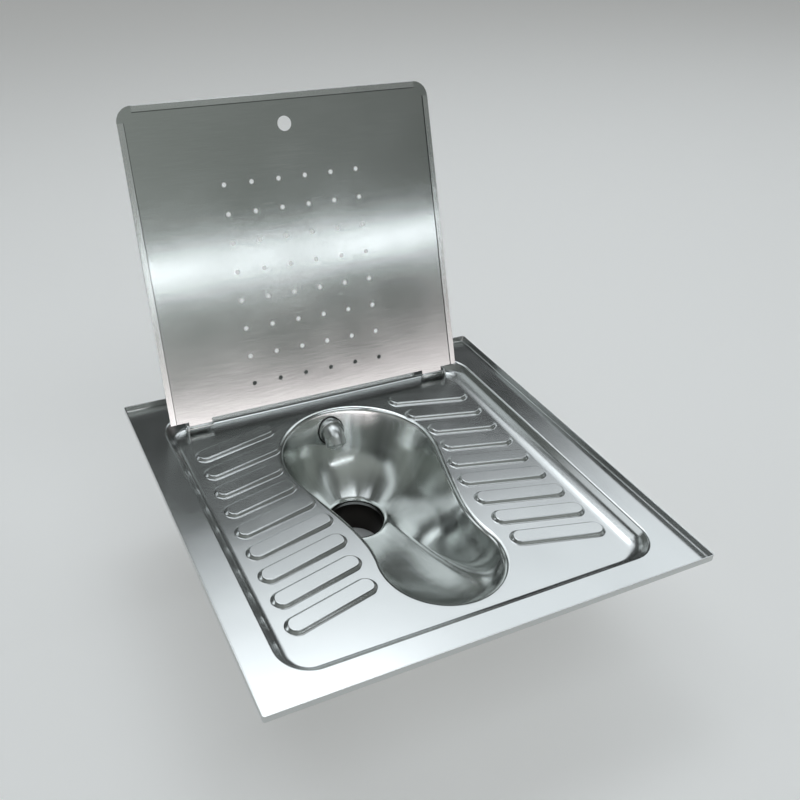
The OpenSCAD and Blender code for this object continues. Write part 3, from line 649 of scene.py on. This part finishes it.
def drawn_steel(name, colour, dull, tones):
    material, tree, place = new_material(name, metallic=1)
    flat = from_drain_axis(tree, place)
    turned = add(
        tree, "ShaderNodeVectorMath", {0: flat}, operation="NORMALIZE"
    ).outputs[0]
    depth = add(
        tree, "ShaderNodeVectorMath", {0: place, 1: (0, 0, RAYS)}, operation="MULTIPLY"
    ).outputs[0]
    rays = add(
        tree, "ShaderNodeVectorMath", {0: turned, 1: (RAYS, RAYS, 0)}, operation="MULTIPLY"
    ).outputs[0]
    fan = add(tree, "ShaderNodeVectorMath", {0: rays, 1: depth}, operation="ADD").outputs[0]
    streaks = add(
        tree, "ShaderNodeTexNoise",
        {"Vector": fan, "Scale": 1, "Detail": 3, "Roughness": 0.4},
    ).outputs["Fac"]
    weather(material, place, streaks, colour, tones, (*dull, 0), STREAK_MARKS, DRAWN_DENTS)
    return material


bowl_steel = drawn_steel("polished_drawn_stainless", "#d9dcda", (0.15, 0.22), (0.96, 1.03))
dress(bowl, bowl_steel, "base", "bowl_steel", "bowl_back", "bowl_front")

# ---- The flush spout ----
# The real piece is a bent stainless tube, 32 mm across, that comes level through the back
# wall and turns down, with a drawn end closed to a small mouth. It is made as it is bent:
# a round section run out, spun through the bend, and necked in at its end.
SPOUT_R, SPOUT_WALL = 16, 1.5
SPOUT_SHARP = 60  # degrees: an edge sharper than this is deburred
SPOUT_LEG, SPOUT_TAIL = 6, 62
SPOUT_BEND, SPOUT_TURN, BEND_STEPS = 18, math.radians(50), 16
SPOUT_END, SHOULDER, SHOULDER_TURNS = 6, 3.5, 8
NECK_R = 9.5
NECK_RUNS = ((0.8, 0.02), (0.2, 0.25), (0, 0.7), (0, 2.05))  # over NECK_R, then along
corner_y = wall_y - SPOUT_LEG
bpy.ops.mesh.primitive_circle_add(
    vertices=64, radius=SPOUT_R * MM,
    location=at(0, wall_y + SPOUT_TAIL, SPOUT_Z), rotation=(math.pi / 2, 0, 0),
)
spout = bpy.context.object
bpy.ops.object.transform_apply(location=True, rotation=True, scale=True)
edit(spout)
bpy.ops.mesh.select_all(action="SELECT")
bpy.ops.mesh.extrude_edges_move(
    TRANSFORM_OT_translate={"value": (0, -(SPOUT_TAIL + SPOUT_LEG) * MM, 0)}
)
bpy.ops.mesh.spin(
    steps=BEND_STEPS, angle=-SPOUT_TURN, center=at(0, corner_y, SPOUT_Z - SPOUT_BEND),
    axis=(1, 0, 0),
)
heading = Vector((0, -math.cos(SPOUT_TURN), -math.sin(SPOUT_TURN)))
spout_end = at(
    0,
    corner_y - SPOUT_BEND * math.sin(SPOUT_TURN),
    SPOUT_Z - SPOUT_BEND * (1 - math.cos(SPOUT_TURN)),
)
# Each run of the nozzle: how far the open end goes on, and the radius that it goes to.
quarter = [math.pi / 2 * i / SHOULDER_TURNS for i in range(SHOULDER_TURNS + 1)]
runs = [(SPOUT_END, SPOUT_R)]
runs += [
    (SHOULDER * (math.sin(b) - math.sin(a)), SPOUT_R - SHOULDER * (1 - math.cos(b)))
    for a, b in zip(quarter, quarter[1:])
]
runs += [(along, NECK_R + over) for over, along in NECK_RUNS]
now = SPOUT_R
for along, radius in runs:
    bpy.ops.mesh.extrude_edges_move(
        TRANSFORM_OT_translate={"value": heading * along * MM}
    )
    spout_end += heading * along * MM
    bpy.ops.transform.resize(value=[radius / now] * 3, center_override=spout_end)
    now = radius
face_out(spout)
settle(spout, "spout_tube")
shape_with(spout, "SOLIDIFY", thickness=SPOUT_WALL * MM, offset=-1, use_even_offset=True)
shape_with(
    spout, "BEVEL", width=DEBURR * MM, segments=2, limit_method="ANGLE",
    angle_limit=math.radians(SPOUT_SHARP),
)
smooth(spout)

# Drawn stainless tube, dulled along its length: a soft grey-white with blurred highlights.
spout_steel = metal(
    "satin_stainless_tube", "#ced1d0", (0.8, 12, 12), (0.26, 0.34), 0.05, (0.03, 30)
)
dress(spout, spout_steel, "base", "spout_steel", "flush_spout", "spout_nozzle")


# ---- The spout's fittings ----
# A turned collar, a gasket, a wedge seat and a backnut clamp the spout to the wall, and a
# sleeve takes the flush pipe. They are plain turned and moulded parts, so each is its CAD
# solid with its sharp edges broken.
SAME_FACE, EASED, EASE_STEPS = 0.3, 30, 3  # degrees between faces that are merged, or eased


def eased(node, name, width):
    """A copy of a CAD solid, merged, with its sharp edges rounded by this many mm."""
    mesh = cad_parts[node].data.copy()
    piece = bpy.data.objects.new(name, mesh)
    bpy.context.collection.objects.link(piece)
    only(piece)
    if mesh.has_custom_normals:
        bpy.ops.mesh.customdata_custom_splitnormals_clear()
    edit(piece)
    bpy.ops.mesh.select_all(action="SELECT")
    bpy.ops.mesh.remove_doubles(threshold=NEAR)
    bpy.ops.mesh.dissolve_limited(angle_limit=math.radians(SAME_FACE))
    shape_with(
        piece, "BEVEL", width=width * MM, segments=EASE_STEPS, limit_method="ANGLE",
        angle_limit=math.radians(EASED), use_clamp_overlap=True,
    )
    smooth(piece)
    return piece


# Turned bright stainless: small sharp highlights, broken up by the tool's fine rings.
turned_steel = metal(
    "turned_bright_stainless", "#cfd1d0", (0.5, 0.5, 0.5), (0.16, 0.26), 0.05, (0.02, 30)
)
collar = eased("spout_collar", "spout_collar_ring", 0.8)
dress(collar, turned_steel, "base", "spout_steel", "spout_collar")


# Moulded rubber and nylon: a dark, even skin with a dull sheen and the mould's fine grain.
SKIN_TONES, SKIN_DULL, SKIN_BUMP = (0.8, 1.15), 0.06, (0.25, 0.0003)


def moulded(name, colour, roughness, grain):
    material, tree, place = new_material(name)
    shader = shader_of(material)
    skin = add(
        tree, "ShaderNodeTexNoise",
        {"Vector": place, "Scale": 1 / (grain * MM), "Detail": 4, "Roughness": 0.6},
    ).outputs["Fac"]
    tone, dullness = (
        add(
            tree, "ShaderNodeMapRange",
            {"Value": skin, "From Min": WEAK, "From Max": STRONG, "To Min": a, "To Max": b},
        ).outputs[0]
        for a, b in (SKIN_TONES, (roughness - SKIN_DULL, roughness + SKIN_DULL))
    )
    tint = add(
        tree, "ShaderNodeMix", {"Factor": 1, "A": linear(colour)},
        data_type="RGBA", blend_type="MULTIPLY",
    )
    tree.links.new(tone, tint.inputs["B"])
    tree.links.new(tint.outputs["Result"], shader.inputs["Base Color"])
    tree.links.new(dullness, shader.inputs["Roughness"])
    bump = add(
        tree, "ShaderNodeBump",
        {"Strength": SKIN_BUMP[0], "Distance": SKIN_BUMP[1], "Height": skin},
    )
    tree.links.new(bump.outputs[0], shader.inputs["Normal"])
    return material


rubber = moulded("moulded_black_rubber", "#242424", 0.62, 1.2)
nylon = moulded("moulded_grey_nylon", "#3a3c3e", 0.5, 2.0)
gasket = eased("spout_gasket", "spout_gasket_ring", 0.3)
dress(gasket, rubber, "base", "seal_rubber", "spout_gasket")
seat = eased("spout_seat", "spout_seat_wedge", 0.6)
dress(seat, nylon, "base", "seat_plastic", "spout_seat")
backnut = eased("spout_backnut", "spout_backnut_hex", 0.9)

# Mill-finish stainless, as rolled and never polished: a flat, slightly mottled grey.
MILL_FINISH = ("#b4b7b7", (6, 6, 6), (0.30, 0.44), 0.06, (0.03, 60))
mill_steel = metal("mill_finish_stainless", *MILL_FINISH)
dress(backnut, mill_steel, "base", "plain_steel", "spout_backnut")
sleeve = eased("inlet_sleeve", "inlet_sleeve_rubber", 0.8)
dress(sleeve, rubber, "base", "seal_rubber", "inlet_sleeve")

# ---- The outlet ----
# A welded stainless tube under the bowl, with a lipped rubber ring that seals it in the
# drain pipe's socket.
spigot = eased("outlet_spigot", "outlet_spigot_tube", 0.4)


# Mill-finish tube, welded from above. Its bore is painted dark brown-black, a painted shade,
# so that the eye gets a dark drain from above and plain grey tube from below.
BORE_SHADE_ENDS = (0.3, 1)  # how far outside the bore the painted shade thins out, and stops


def painted_dark_bore(name):
    material = metal(name, *MILL_FINISH)
    tree, shader = material.node_tree, shader_of(material)
    place = add(tree, "ShaderNodeTexCoord").outputs["Object"]
    out = add(
        tree, "ShaderNodeVectorMath", {0: from_drain_axis(tree, place)}, operation="LENGTH"
    ).outputs["Value"]
    thins, stops = ((DRAIN_R + past) * MM for past in BORE_SHADE_ENDS)
    unshaded = add(
        tree, "ShaderNodeMapRange", {"Value": out, "From Min": thins, "From Max": stops}
    ).outputs[0]
    plain = shader.inputs["Base Color"].links[0].from_socket
    # The bore's dark brown-black is painted shade, and it thins out past the drain's edge.
    mixed = add(
        tree, "ShaderNodeMix", {"Factor": unshaded, "A": linear("#3d3a37"), "B": plain},
        data_type="RGBA",
    )
    tree.links.new(mixed.outputs["Result"], shader.inputs["Base Color"])
    return material


bore_steel = painted_dark_bore("mill_tube_with_painted_bore_shade")
dress(spigot, bore_steel, "base", "plain_steel", "outlet_spigot")
seal = eased("outlet_seal", "outlet_seal_ring", 0.5)
dress(seal, rubber, "base", "seal_rubber", "outlet_seal")

# ---- The lid ----
# The real piece is a square of 1.2 mm sheet, brushed along its width, with its edges folded
# back flat. It is punched with forty-eight holes and a finger hole, and its two tabs are
# rolled into knuckles. It is made upright over the hinge axis, then leant on its stops.
LID_W, LID_L, LID_T = 492, 459, 1.2
LID_R, LID_R_STEPS = 23, 16
HEM, HEM_ROUND, HEM_STEPS = 9, 0.8, 4
TAB_X, TAB_W, TAB_L = 200, 35.5, 10.5
TAB_FOOT, TAB_LAP = 3.2, 1  # where it leaves the knuckle, and how far it goes into the sheet
HINGE_Y, HINGE_Z, LID_LEAN = 233.5, -9.5, math.radians(22.2)
KNUCKLE_R, KNUCKLE_BORE, KNUCKLE_STEPS = 4, 2.6, 40
KNUCKLE_ROLL, ROLL_OPENS = math.radians(335), math.radians(115)
HOLES, HOLE_PITCH, HOLE_R, HOLE_START = (6, 8), 42.75, 3.5, 38
FINGER_R, FINGER_IN = 11, 44
PUNCH = 8 * LID_T  # the length of the punches, which go well through
LAP = 0.02  # how far the hems go into the sheet, so that they join
FOLDED = 1  # radians: the least turn at a hem's edge
LID_DEBURR = 0.22


def block(x0, y0, z0, x1, y1, z1):
    """A rectangular blank between two corners, in mm."""
    bpy.ops.mesh.primitive_cube_add(
        size=1, location=((x0 + x1) / 2 * MM, (y0 + y1) / 2 * MM, (z0 + z1) / 2 * MM)
    )
    piece = bpy.context.object
    piece.scale = ((x1 - x0) * MM, (y1 - y0) * MM, (z1 - z0) * MM)
    bpy.ops.object.transform_apply(location=True, rotation=True, scale=True)
    return piece


half_w, half_t, top = LID_W / 2, LID_T / 2, TAB_L + LID_L
hem_front, hem_back = -half_t - LID_T, -half_t + LAP
lid = block(-half_w, -half_t, TAB_L, half_w, half_t, top)
edit(lid)
pick(
    lid, "EDGE",
    lambda e: all(v.co.z > (top - LID_T) * MM for v in e.verts)
    and abs(e.verts[0].co.y - e.verts[1].co.y) > half_t * MM,
)
bpy.ops.mesh.bevel(
    offset=LID_R * MM, segments=LID_R_STEPS, affect="EDGES", clamp_overlap=False
)
only(lid)
for strip in (
    (-half_w, hem_front, TAB_L, HEM - half_w, hem_back, top - LID_R),
    (half_w - HEM, hem_front, TAB_L, half_w, hem_back, top - LID_R),
    (LID_R - half_w, hem_front, top - HEM, half_w - LID_R, hem_back, top),
):
    combine(lid, block(*strip), "UNION")
for side in (-1, 1):
    low, high = side * TAB_X - TAB_W / 2, side * TAB_X + TAB_W / 2
    combine(lid, block(low, -half_t, TAB_FOOT, high, half_t, TAB_L + TAB_LAP), "UNION")
    # The knuckle: the tab's end rolled round the pin, with the roll left open in front.
    bpy.ops.mesh.primitive_plane_add(size=1, location=(0, 0, 0))
    knuckle = bpy.context.object
    knuckle.scale = (TAB_W * MM, (KNUCKLE_R - KNUCKLE_BORE) * MM, 1)
    knuckle.location = (side * TAB_X * MM, (KNUCKLE_R + KNUCKLE_BORE) / 2 * MM, 0)
    bpy.ops.object.transform_apply(location=True, rotation=True, scale=True)
    edit(knuckle)
    bpy.ops.mesh.select_all(action="SELECT")
    bpy.ops.mesh.spin(
        steps=KNUCKLE_STEPS, angle=-KNUCKLE_ROLL, center=(0, 0, 0), axis=(1, 0, 0)
    )
    face_out(knuckle)
    knuckle.data.transform(Matrix.Rotation(ROLL_OPENS, 4, "X"))
    combine(lid, knuckle, "UNION")

# Punched holes.
holes = [
    ((i - (HOLES[0] - 1) / 2) * HOLE_PITCH, TAB_L + HOLE_START + j * HOLE_PITCH, HOLE_R, 28)
    for i in range(HOLES[0])
    for j in range(HOLES[1])
]
holes.append((0, top - FINGER_IN, FINGER_R, 72))
punches = []
for x, z, radius, sides in holes:
    bpy.ops.mesh.primitive_cylinder_add(
        vertices=sides, radius=radius * MM, depth=PUNCH * MM,
        location=(x * MM, 0, z * MM), rotation=(math.pi / 2, 0, 0),
    )
    punches.append(bpy.context.object)
combine(lid, join(punches), "DIFFERENCE")

# Folded hems are round outside, and sheared and punched edges are deburred.
edit(lid)


def hem_fold(e):
    """An edge of the sheet's back or a hem's front, along a folded side or the top."""
    if len(e.link_faces) != 2 or e.calc_face_angle() < FOLDED:
        return False
    a, b = (v.co for v in e.verts)
    on_side = all(abs(abs(co.x) - half_w * MM) < NEAR for co in (a, b))
    on_top = all(abs(co.z - top * MM) < NEAR for co in (a, b))
    on_face = any(
        all(abs(co.y - y * MM) < NEAR for co in (a, b)) for y in (half_t, hem_front)
    )
    return (on_side or on_top) and on_face


pick(lid, "EDGE", hem_fold)
bpy.ops.mesh.bevel(
    offset=HEM_ROUND * MM, segments=HEM_STEPS, affect="EDGES", clamp_overlap=False
)
shape_with(
    lid, "BEVEL", width=LID_DEBURR * MM, segments=2, limit_method="ANGLE",
    angle_limit=math.radians(SHARP),
)
lid.rotation_euler = (-LID_LEAN, 0, 0)
lid.location = at(0, HINGE_Y, HINGE_Z)
settle(lid, "lid_panel")
smooth(lid)

# Cross-brushed stainless: long scratches from side to side draw every light out upwards
# and downwards, so that the eye gets one broad, even band of it.
lid_steel = metal(
    "cross_brushed_stainless", "#c6c9c7", (40, 0.5, 0.5), (0.12, 0.16), 0.03, (0.03, 160)
)

# The raised hems are painted lighter, a painted highlight, and made a little duller, and a
# painted shadow line lies in the corner where each of them starts. Both fade in over a
# fraction of a millimetre.
HEM_PAINTED_HIGHLIGHT, HEM_DULL, LINE_PAINTED_SHADOW, LINE_WIDE = 0.3, 0.06, 0.75, 1.2


def paint_hem_highlight_and_shadow(material):
    tree, shader = material.node_tree, shader_of(material)
    place = add(tree, "ShaderNodeTexCoord").outputs["Object"]
    from_hinge = add(
        tree, "ShaderNodeVectorMath", {0: place, 1: at(0, HINGE_Y, HINGE_Z)},
        operation="SUBTRACT",
    ).outputs[0]
    up_lid, through = (
        add(
            tree, "ShaderNodeVectorMath", {0: from_hinge, 1: way}, operation="DOT_PRODUCT"
        ).outputs["Value"]
        for way in (
            (0, math.sin(LID_LEAN), math.cos(LID_LEAN)),
            (0, math.cos(LID_LEAN), -math.sin(LID_LEAN)),
        )
    )
    side = add(tree, "ShaderNodeSeparateXYZ", {0: place}).outputs["X"]
    across = add(tree, "ShaderNodeMath", {0: side}, operation="ABSOLUTE").outputs[0]
    masks = []
    for hem, soft in ((HEM, 0.2), (HEM + LINE_WIDE, 0.3)):
        mask = 0
        for run, end, other, other_end in (
            (across, half_w, up_lid, top), (up_lid, top, across, half_w)
        ):
            strip = 1
            for value, none, full in (
                (through, 0.3 - half_t, 0.1 - half_t),  # the front face alone
                (other, other_end - LID_R + 0.4, other_end - LID_R),
                (run, end - hem, end - hem + soft),
            ):
                step = add(
                    tree, "ShaderNodeMapRange",
                    {"Value": value, "From Min": none * MM, "From Max": full * MM},
                ).outputs[0]
                strip = add(
                    tree, "ShaderNodeMath", {0: strip, 1: step}, operation="MULTIPLY"
                ).outputs[0]
            mask = add(
                tree, "ShaderNodeMath", {0: mask, 1: strip}, operation="ADD"
            ).outputs[0]
        masks.append(mask)
    hems = masks[0]
    painted_shadow_lines = add(
        tree, "ShaderNodeMath", {0: masks[1], 1: hems}, operation="SUBTRACT"
    ).outputs[0]
    shown = shader.inputs["Base Color"].links[0].from_socket
    # The hems get a painted highlight, and the line beside each of them a painted shadow.
    for mask, share, colour in ((hems, HEM_PAINTED_HIGHLIGHT, "#f0f2f0"), (painted_shadow_lines, LINE_PAINTED_SHADOW, "#3c3f3e")):
        factor = add(
            tree, "ShaderNodeMath", {0: mask, 1: share}, operation="MULTIPLY"
        ).outputs[0]
        shown = add(
            tree, "ShaderNodeMix", {"Factor": factor, "A": shown, "B": linear(colour)},
            data_type="RGBA",
        ).outputs["Result"]
    tree.links.new(shown, shader.inputs["Base Color"])
    brushed = shader.inputs["Roughness"].links[0].from_socket
    duller = add(
        tree, "ShaderNodeMath", {0: hems, 1: HEM_DULL, 2: brushed}, operation="MULTIPLY_ADD"
    ).outputs[0]
    tree.links.new(duller, shader.inputs["Roughness"])


paint_hem_highlight_and_shadow(lid_steel)
dress(lid, lid_steel, "lid", "lid_steel", "lid_plate")

# ---- The hinge ----
# Folded stainless lugs are spot-welded to the recess floor. A headed pin goes through each
# lug, a spacer ring and the lid's knuckle, and the lug's rear web stops the open lid.

# Folded strip stainless, brushed before it is cut: greyer than the tray, and duller.
strip_steel = metal(
    "folded_stainless_strip", "#bfc2c1", (14, 0.8, 0.8), (0.24, 0.36), 0.08, (0.03, 40)
)
for side in ("left", "right"):
    lug = eased("hinge_lug_" + side, "lug_" + side, 0.5)
    dress(lug, strip_steel, "base", "hinge_steel", "hinge_lug_" + side)
    pin = eased("hinge_pin_" + side, "pin_" + side, 0.4)
    dress(pin, turned_steel, "base", "pin_steel", "hinge_pin_" + side)
spacers = eased("hinge_spacers", "spacer_rings", 0.25)
dress(spacers, turned_steel, "base", "pin_steel", "hinge_spacers")

# ---- Under the tray ----
# Hat-section braces, bent fixing lugs and an earth tag are spot-welded below the recess,
# in mill-finish strip. The earth screw and nut are brass.
for node, name in (
    ("brace_left", "hat_brace_left"), ("brace_right", "hat_brace_right"),
    ("fixing_lugs", "floor_fixing_lugs"), ("earth_tag", "earthing_tag"),
):
    strip = eased(node, name, 0.5)
    dress(strip, mill_steel, "base", "plain_steel", node)

# Turned brass: a warm yellow metal with fine rings from the lathe.
brass = metal(
    "turned_brass", "#c9a354", (0.6, 0.6, 0.6), (0.22, 0.34), 0.06, (0.02, 20)
)
for node, name in (("earth_screw", "earthing_screw"), ("earth_nut", "earthing_nut")):
    fastener = eased(node, name, 0.35)
    dress(fastener, brass, "base", "earth_brass", node)

# ---- The studio ----
# A plain pale floor at the outlet's foot, soft lamps and the camera at the photo's angle.
FLOOR_GAP = 0.0005
bpy.ops.mesh.primitive_plane_add(size=24, location=(0, 0.3, cad_box[0][2] - FLOOR_GAP))
floor = bpy.context.object
floor.name = "studio_floor"

# Matt paint: an even pale tone with no highlight. Part of it is the paint's own glow, which
# the camera and the metal see alike, and which lights nothing.
OUTLET_FROM_FLOOR = (0, at(0, BACK_Y, 0).y - floor.location.y, 0)
paint, tree, place = new_material("matt_pale_paint")
shader = shader_of(paint)
wash = add(
    tree, "ShaderNodeTexNoise", {"Vector": place, "Scale": 0.6, "Detail": 2}
).outputs["Fac"]
dullness = add(tree, "ShaderNodeMapRange", {"Value": wash, "To Min": 0.60, "To Max": 0.64})
tree.links.new(dullness.outputs[0], shader.inputs["Roughness"])
shader.inputs["Base Color"].default_value = linear("#dcdddc")
shader.inputs["Emission Color"].default_value = linear("#f2f3f2")
rays = add(tree, "ShaderNodeLightPath").outputs
seen = rays["Is Camera Ray"]
for kind in ("Is Glossy Ray", "Is Transmission Ray"):
    seen = add(
        tree, "ShaderNodeMath", {0: seen, 1: rays[kind]}, operation="MAXIMUM"
    ).outputs[0]
# There is no glow under the outlet, a painted shade on the floor under the tray, so that the
# drain is dark inside.
from_outlet = add(
    tree, "ShaderNodeVectorMath", {0: place, 1: OUTLET_FROM_FLOOR}, operation="DISTANCE"
).outputs["Value"]
clear = add(
    tree, "ShaderNodeMapRange",
    {"Value": from_outlet, "From Min": 0.06, "From Max": 0.26, "To Min": 0, "To Max": 0.28},
    interpolation_type="SMOOTHSTEP",
).outputs[0]
glow = add(tree, "ShaderNodeMath", {0: seen, 1: clear}, operation="MULTIPLY").outputs[0]
tree.links.new(glow, shader.inputs["Emission Strength"])
floor.data.materials.append(paint)


def softbox(name, place, target, wide, high, brightness):
    """A flat lamp that looks this bright, where 1 is white."""
    data = bpy.data.lights.new(name, "AREA")
    data.shape = "RECTANGLE"
    data.size, data.size_y = wide, high
    data.energy = brightness * math.pi * wide * high
    data.color = linear("#f4faff")[:3]
    lamp = bpy.data.objects.new(name, data)
    lamp.location = place
    lamp.rotation_euler = (Vector(target) - Vector(place)).to_track_quat("-Z", "Y").to_euler()
    bpy.context.collection.objects.link(lamp)
    return lamp


# A long panel high behind the tray: the near half of the satin deck mirrors it.
softbox("long_panel", (2.1, 2.33, 2.98), (2.1, 0.3, 0), 4.4, 1.3, 1.3)
# A smaller, brighter one to its left lights the near left corner.
softbox("left_panel", (0.55, 1.72, 3.0), (0, 0.1, 0), 1.1, 0.8, 2.2)
# Low in front: the open lid mirrors it as one broad band, a little lower on the left.
BAND_TILT = math.radians(-2)
strip = softbox("front_strip", (0.65, -2.3, 1.185), (0.3, 0.6, 0.21), 3.0, 0.075, 5.6)
strip.rotation_euler.rotate_axis("Z", BAND_TILT)
# Two overhead, with a dark gap between them: the rear of the deck mirrors the lid, and the
# lid mirrors the gap. The shoulders of the treads and the bowl catch both panels.
softbox("rear_top_panel", (2.35, 1.29, 3.0), (2.35, 0.99, 0), 5.3, 0.82, 1.2)
softbox("front_top_panel", (0.6, -1.05, 3.0), (0.6, -0.2, 0), 2.4, 1.4, 1.4)
# One more on the left, which only the bowl, the spout and the ends of the treads mirror.
softbox("left_top_panel", (-1.2, 0.4, 3.0), (-1.0, 0.3, 0), 2.75, 1.4, 1.0)
# On the left, low and high: the near half of the right-hand wall and its lip mirror them.
softbox("side_panel", (-2.45, 1.9, 0.87), (0, 0.3, 0), 1.1, 1.3, 1.1)
softbox("back_left_panel", (-0.9, 1.45, 2.5), (0, 0.1, 0), 1.6, 0.8, 1.1)

# The air round the stage is an even grey, brightest low in front, where the lid's foot
# mirrors it, and darker overhead, behind and on the right, where the metal shows dark.
world = bpy.data.worlds.new("studio_air")
bpy.context.scene.world = world
world.use_nodes = True
air = world.node_tree
shell = next(n for n in air.nodes if n.type == "BACKGROUND")
look = add(air, "ShaderNodeTexCoord").outputs["Generated"]
ways = add(air, "ShaderNodeSeparateXYZ", {0: look}).outputs
over_and_back = add(
    air, "ShaderNodeMath", {0: ways["Y"], 1: 0.5, 2: ways["Z"]}, operation="MULTIPLY_ADD"
).outputs[0]
# Each part of the air: the direction it goes by, where on it it starts and ends, and its
# brightness or share at those ends.
bands = {
    band: add(
        air, "ShaderNodeMapRange",
        {"Value": way, "From Min": start, "From Max": end, "To Min": a, "To Max": b},
        interpolation_type=blend,
    ).outputs[0]
    for band, way, start, end, a, b, blend in (
        ("even grey", ways["Z"], 0.15, 0.25, 0.36, 0.29, "SMOOTHSTEP"),
        ("skyline", ways["Z"], 0.12, 0.155, 1, 0, "SMOOTHSTEP"),
        ("in front", ways["Y"], -0.8, -0.6, 3.2, 0, "LINEAR"),
        ("overhead", over_and_back, 0.15, 0.75, 1.15, 0.3, "SMOOTHSTEP"),
        ("behind", ways["Y"], 0.1, 0.85, 1, 0.55, "SMOOTHSTEP"),
        ("on the right", ways["X"], 0.2, 0.5, 1, 0.55, "LINEAR"),
        ("warm", ways["Z"], 0.12, 0.24, 1, 0, "LINEAR"),
    )
}
shade = add(
    air, "ShaderNodeMath",
    {0: bands["skyline"], 1: bands["in front"], 2: bands["even grey"]},
    operation="MULTIPLY_ADD",
).outputs[0]
for band in ("overhead", "behind", "on the right"):
    shade = add(
        air, "ShaderNodeMath", {0: shade, 1: bands[band]}, operation="MULTIPLY"
    ).outputs[0]
tint = add(
    air, "ShaderNodeMix",
    {"Factor": bands["warm"], "A": linear("#f2faf5"), "B": linear("#fdf3f5")},
    data_type="RGBA",
).outputs["Result"]
tinted = add(
    air, "ShaderNodeVectorMath", {0: tint, "Scale": shade}, operation="SCALE"
).outputs[0]
# The camera sees a plain pale backdrop there, close to the floor's own tone.
backdrop = add(
    air, "ShaderNodeMix",
    {"Factor": add(air, "ShaderNodeLightPath").outputs["Is Camera Ray"],
     "A": tinted, "B": linear("#c6c8c7")},
    data_type="RGBA",
).outputs["Result"]
air.links.new(backdrop, shell.inputs["Color"])

# The camera: its place, its heading and the tilt of its frame fit the tray's and the lid's
# corners in the photo.
STANDS_AT = (-0.48565, -0.55609, 0.76675)
FORWARD = Vector((0.3647, 0.7581, -0.5407)).normalized()
ROLL_RIGHT = math.radians(1.98)
camera_data = bpy.data.cameras.new("camera")
camera_data.lens, camera_data.sensor_width = 39.72, 36
camera_data.shift_x, camera_data.shift_y = 0.0760, -0.0138
camera = bpy.data.objects.new("camera", camera_data)
bpy.context.collection.objects.link(camera)
right = FORWARD.cross(Vector((0, 0, 1))).normalized()
up = right.cross(FORWARD)
across = math.cos(ROLL_RIGHT) * right + math.sin(ROLL_RIGHT) * up
upward = -math.sin(ROLL_RIGHT) * right + math.cos(ROLL_RIGHT) * up
camera.matrix_world = Matrix.Translation(STANDS_AT) @ Matrix(
    (across, upward, -FORWARD)
).transposed().to_4x4()
bpy.context.scene.camera = camera
bpy.context.scene.view_settings.view_transform = "Standard"

bpy.ops.object.select_all(action="DESELECT")
bpy.context.view_layer.update()
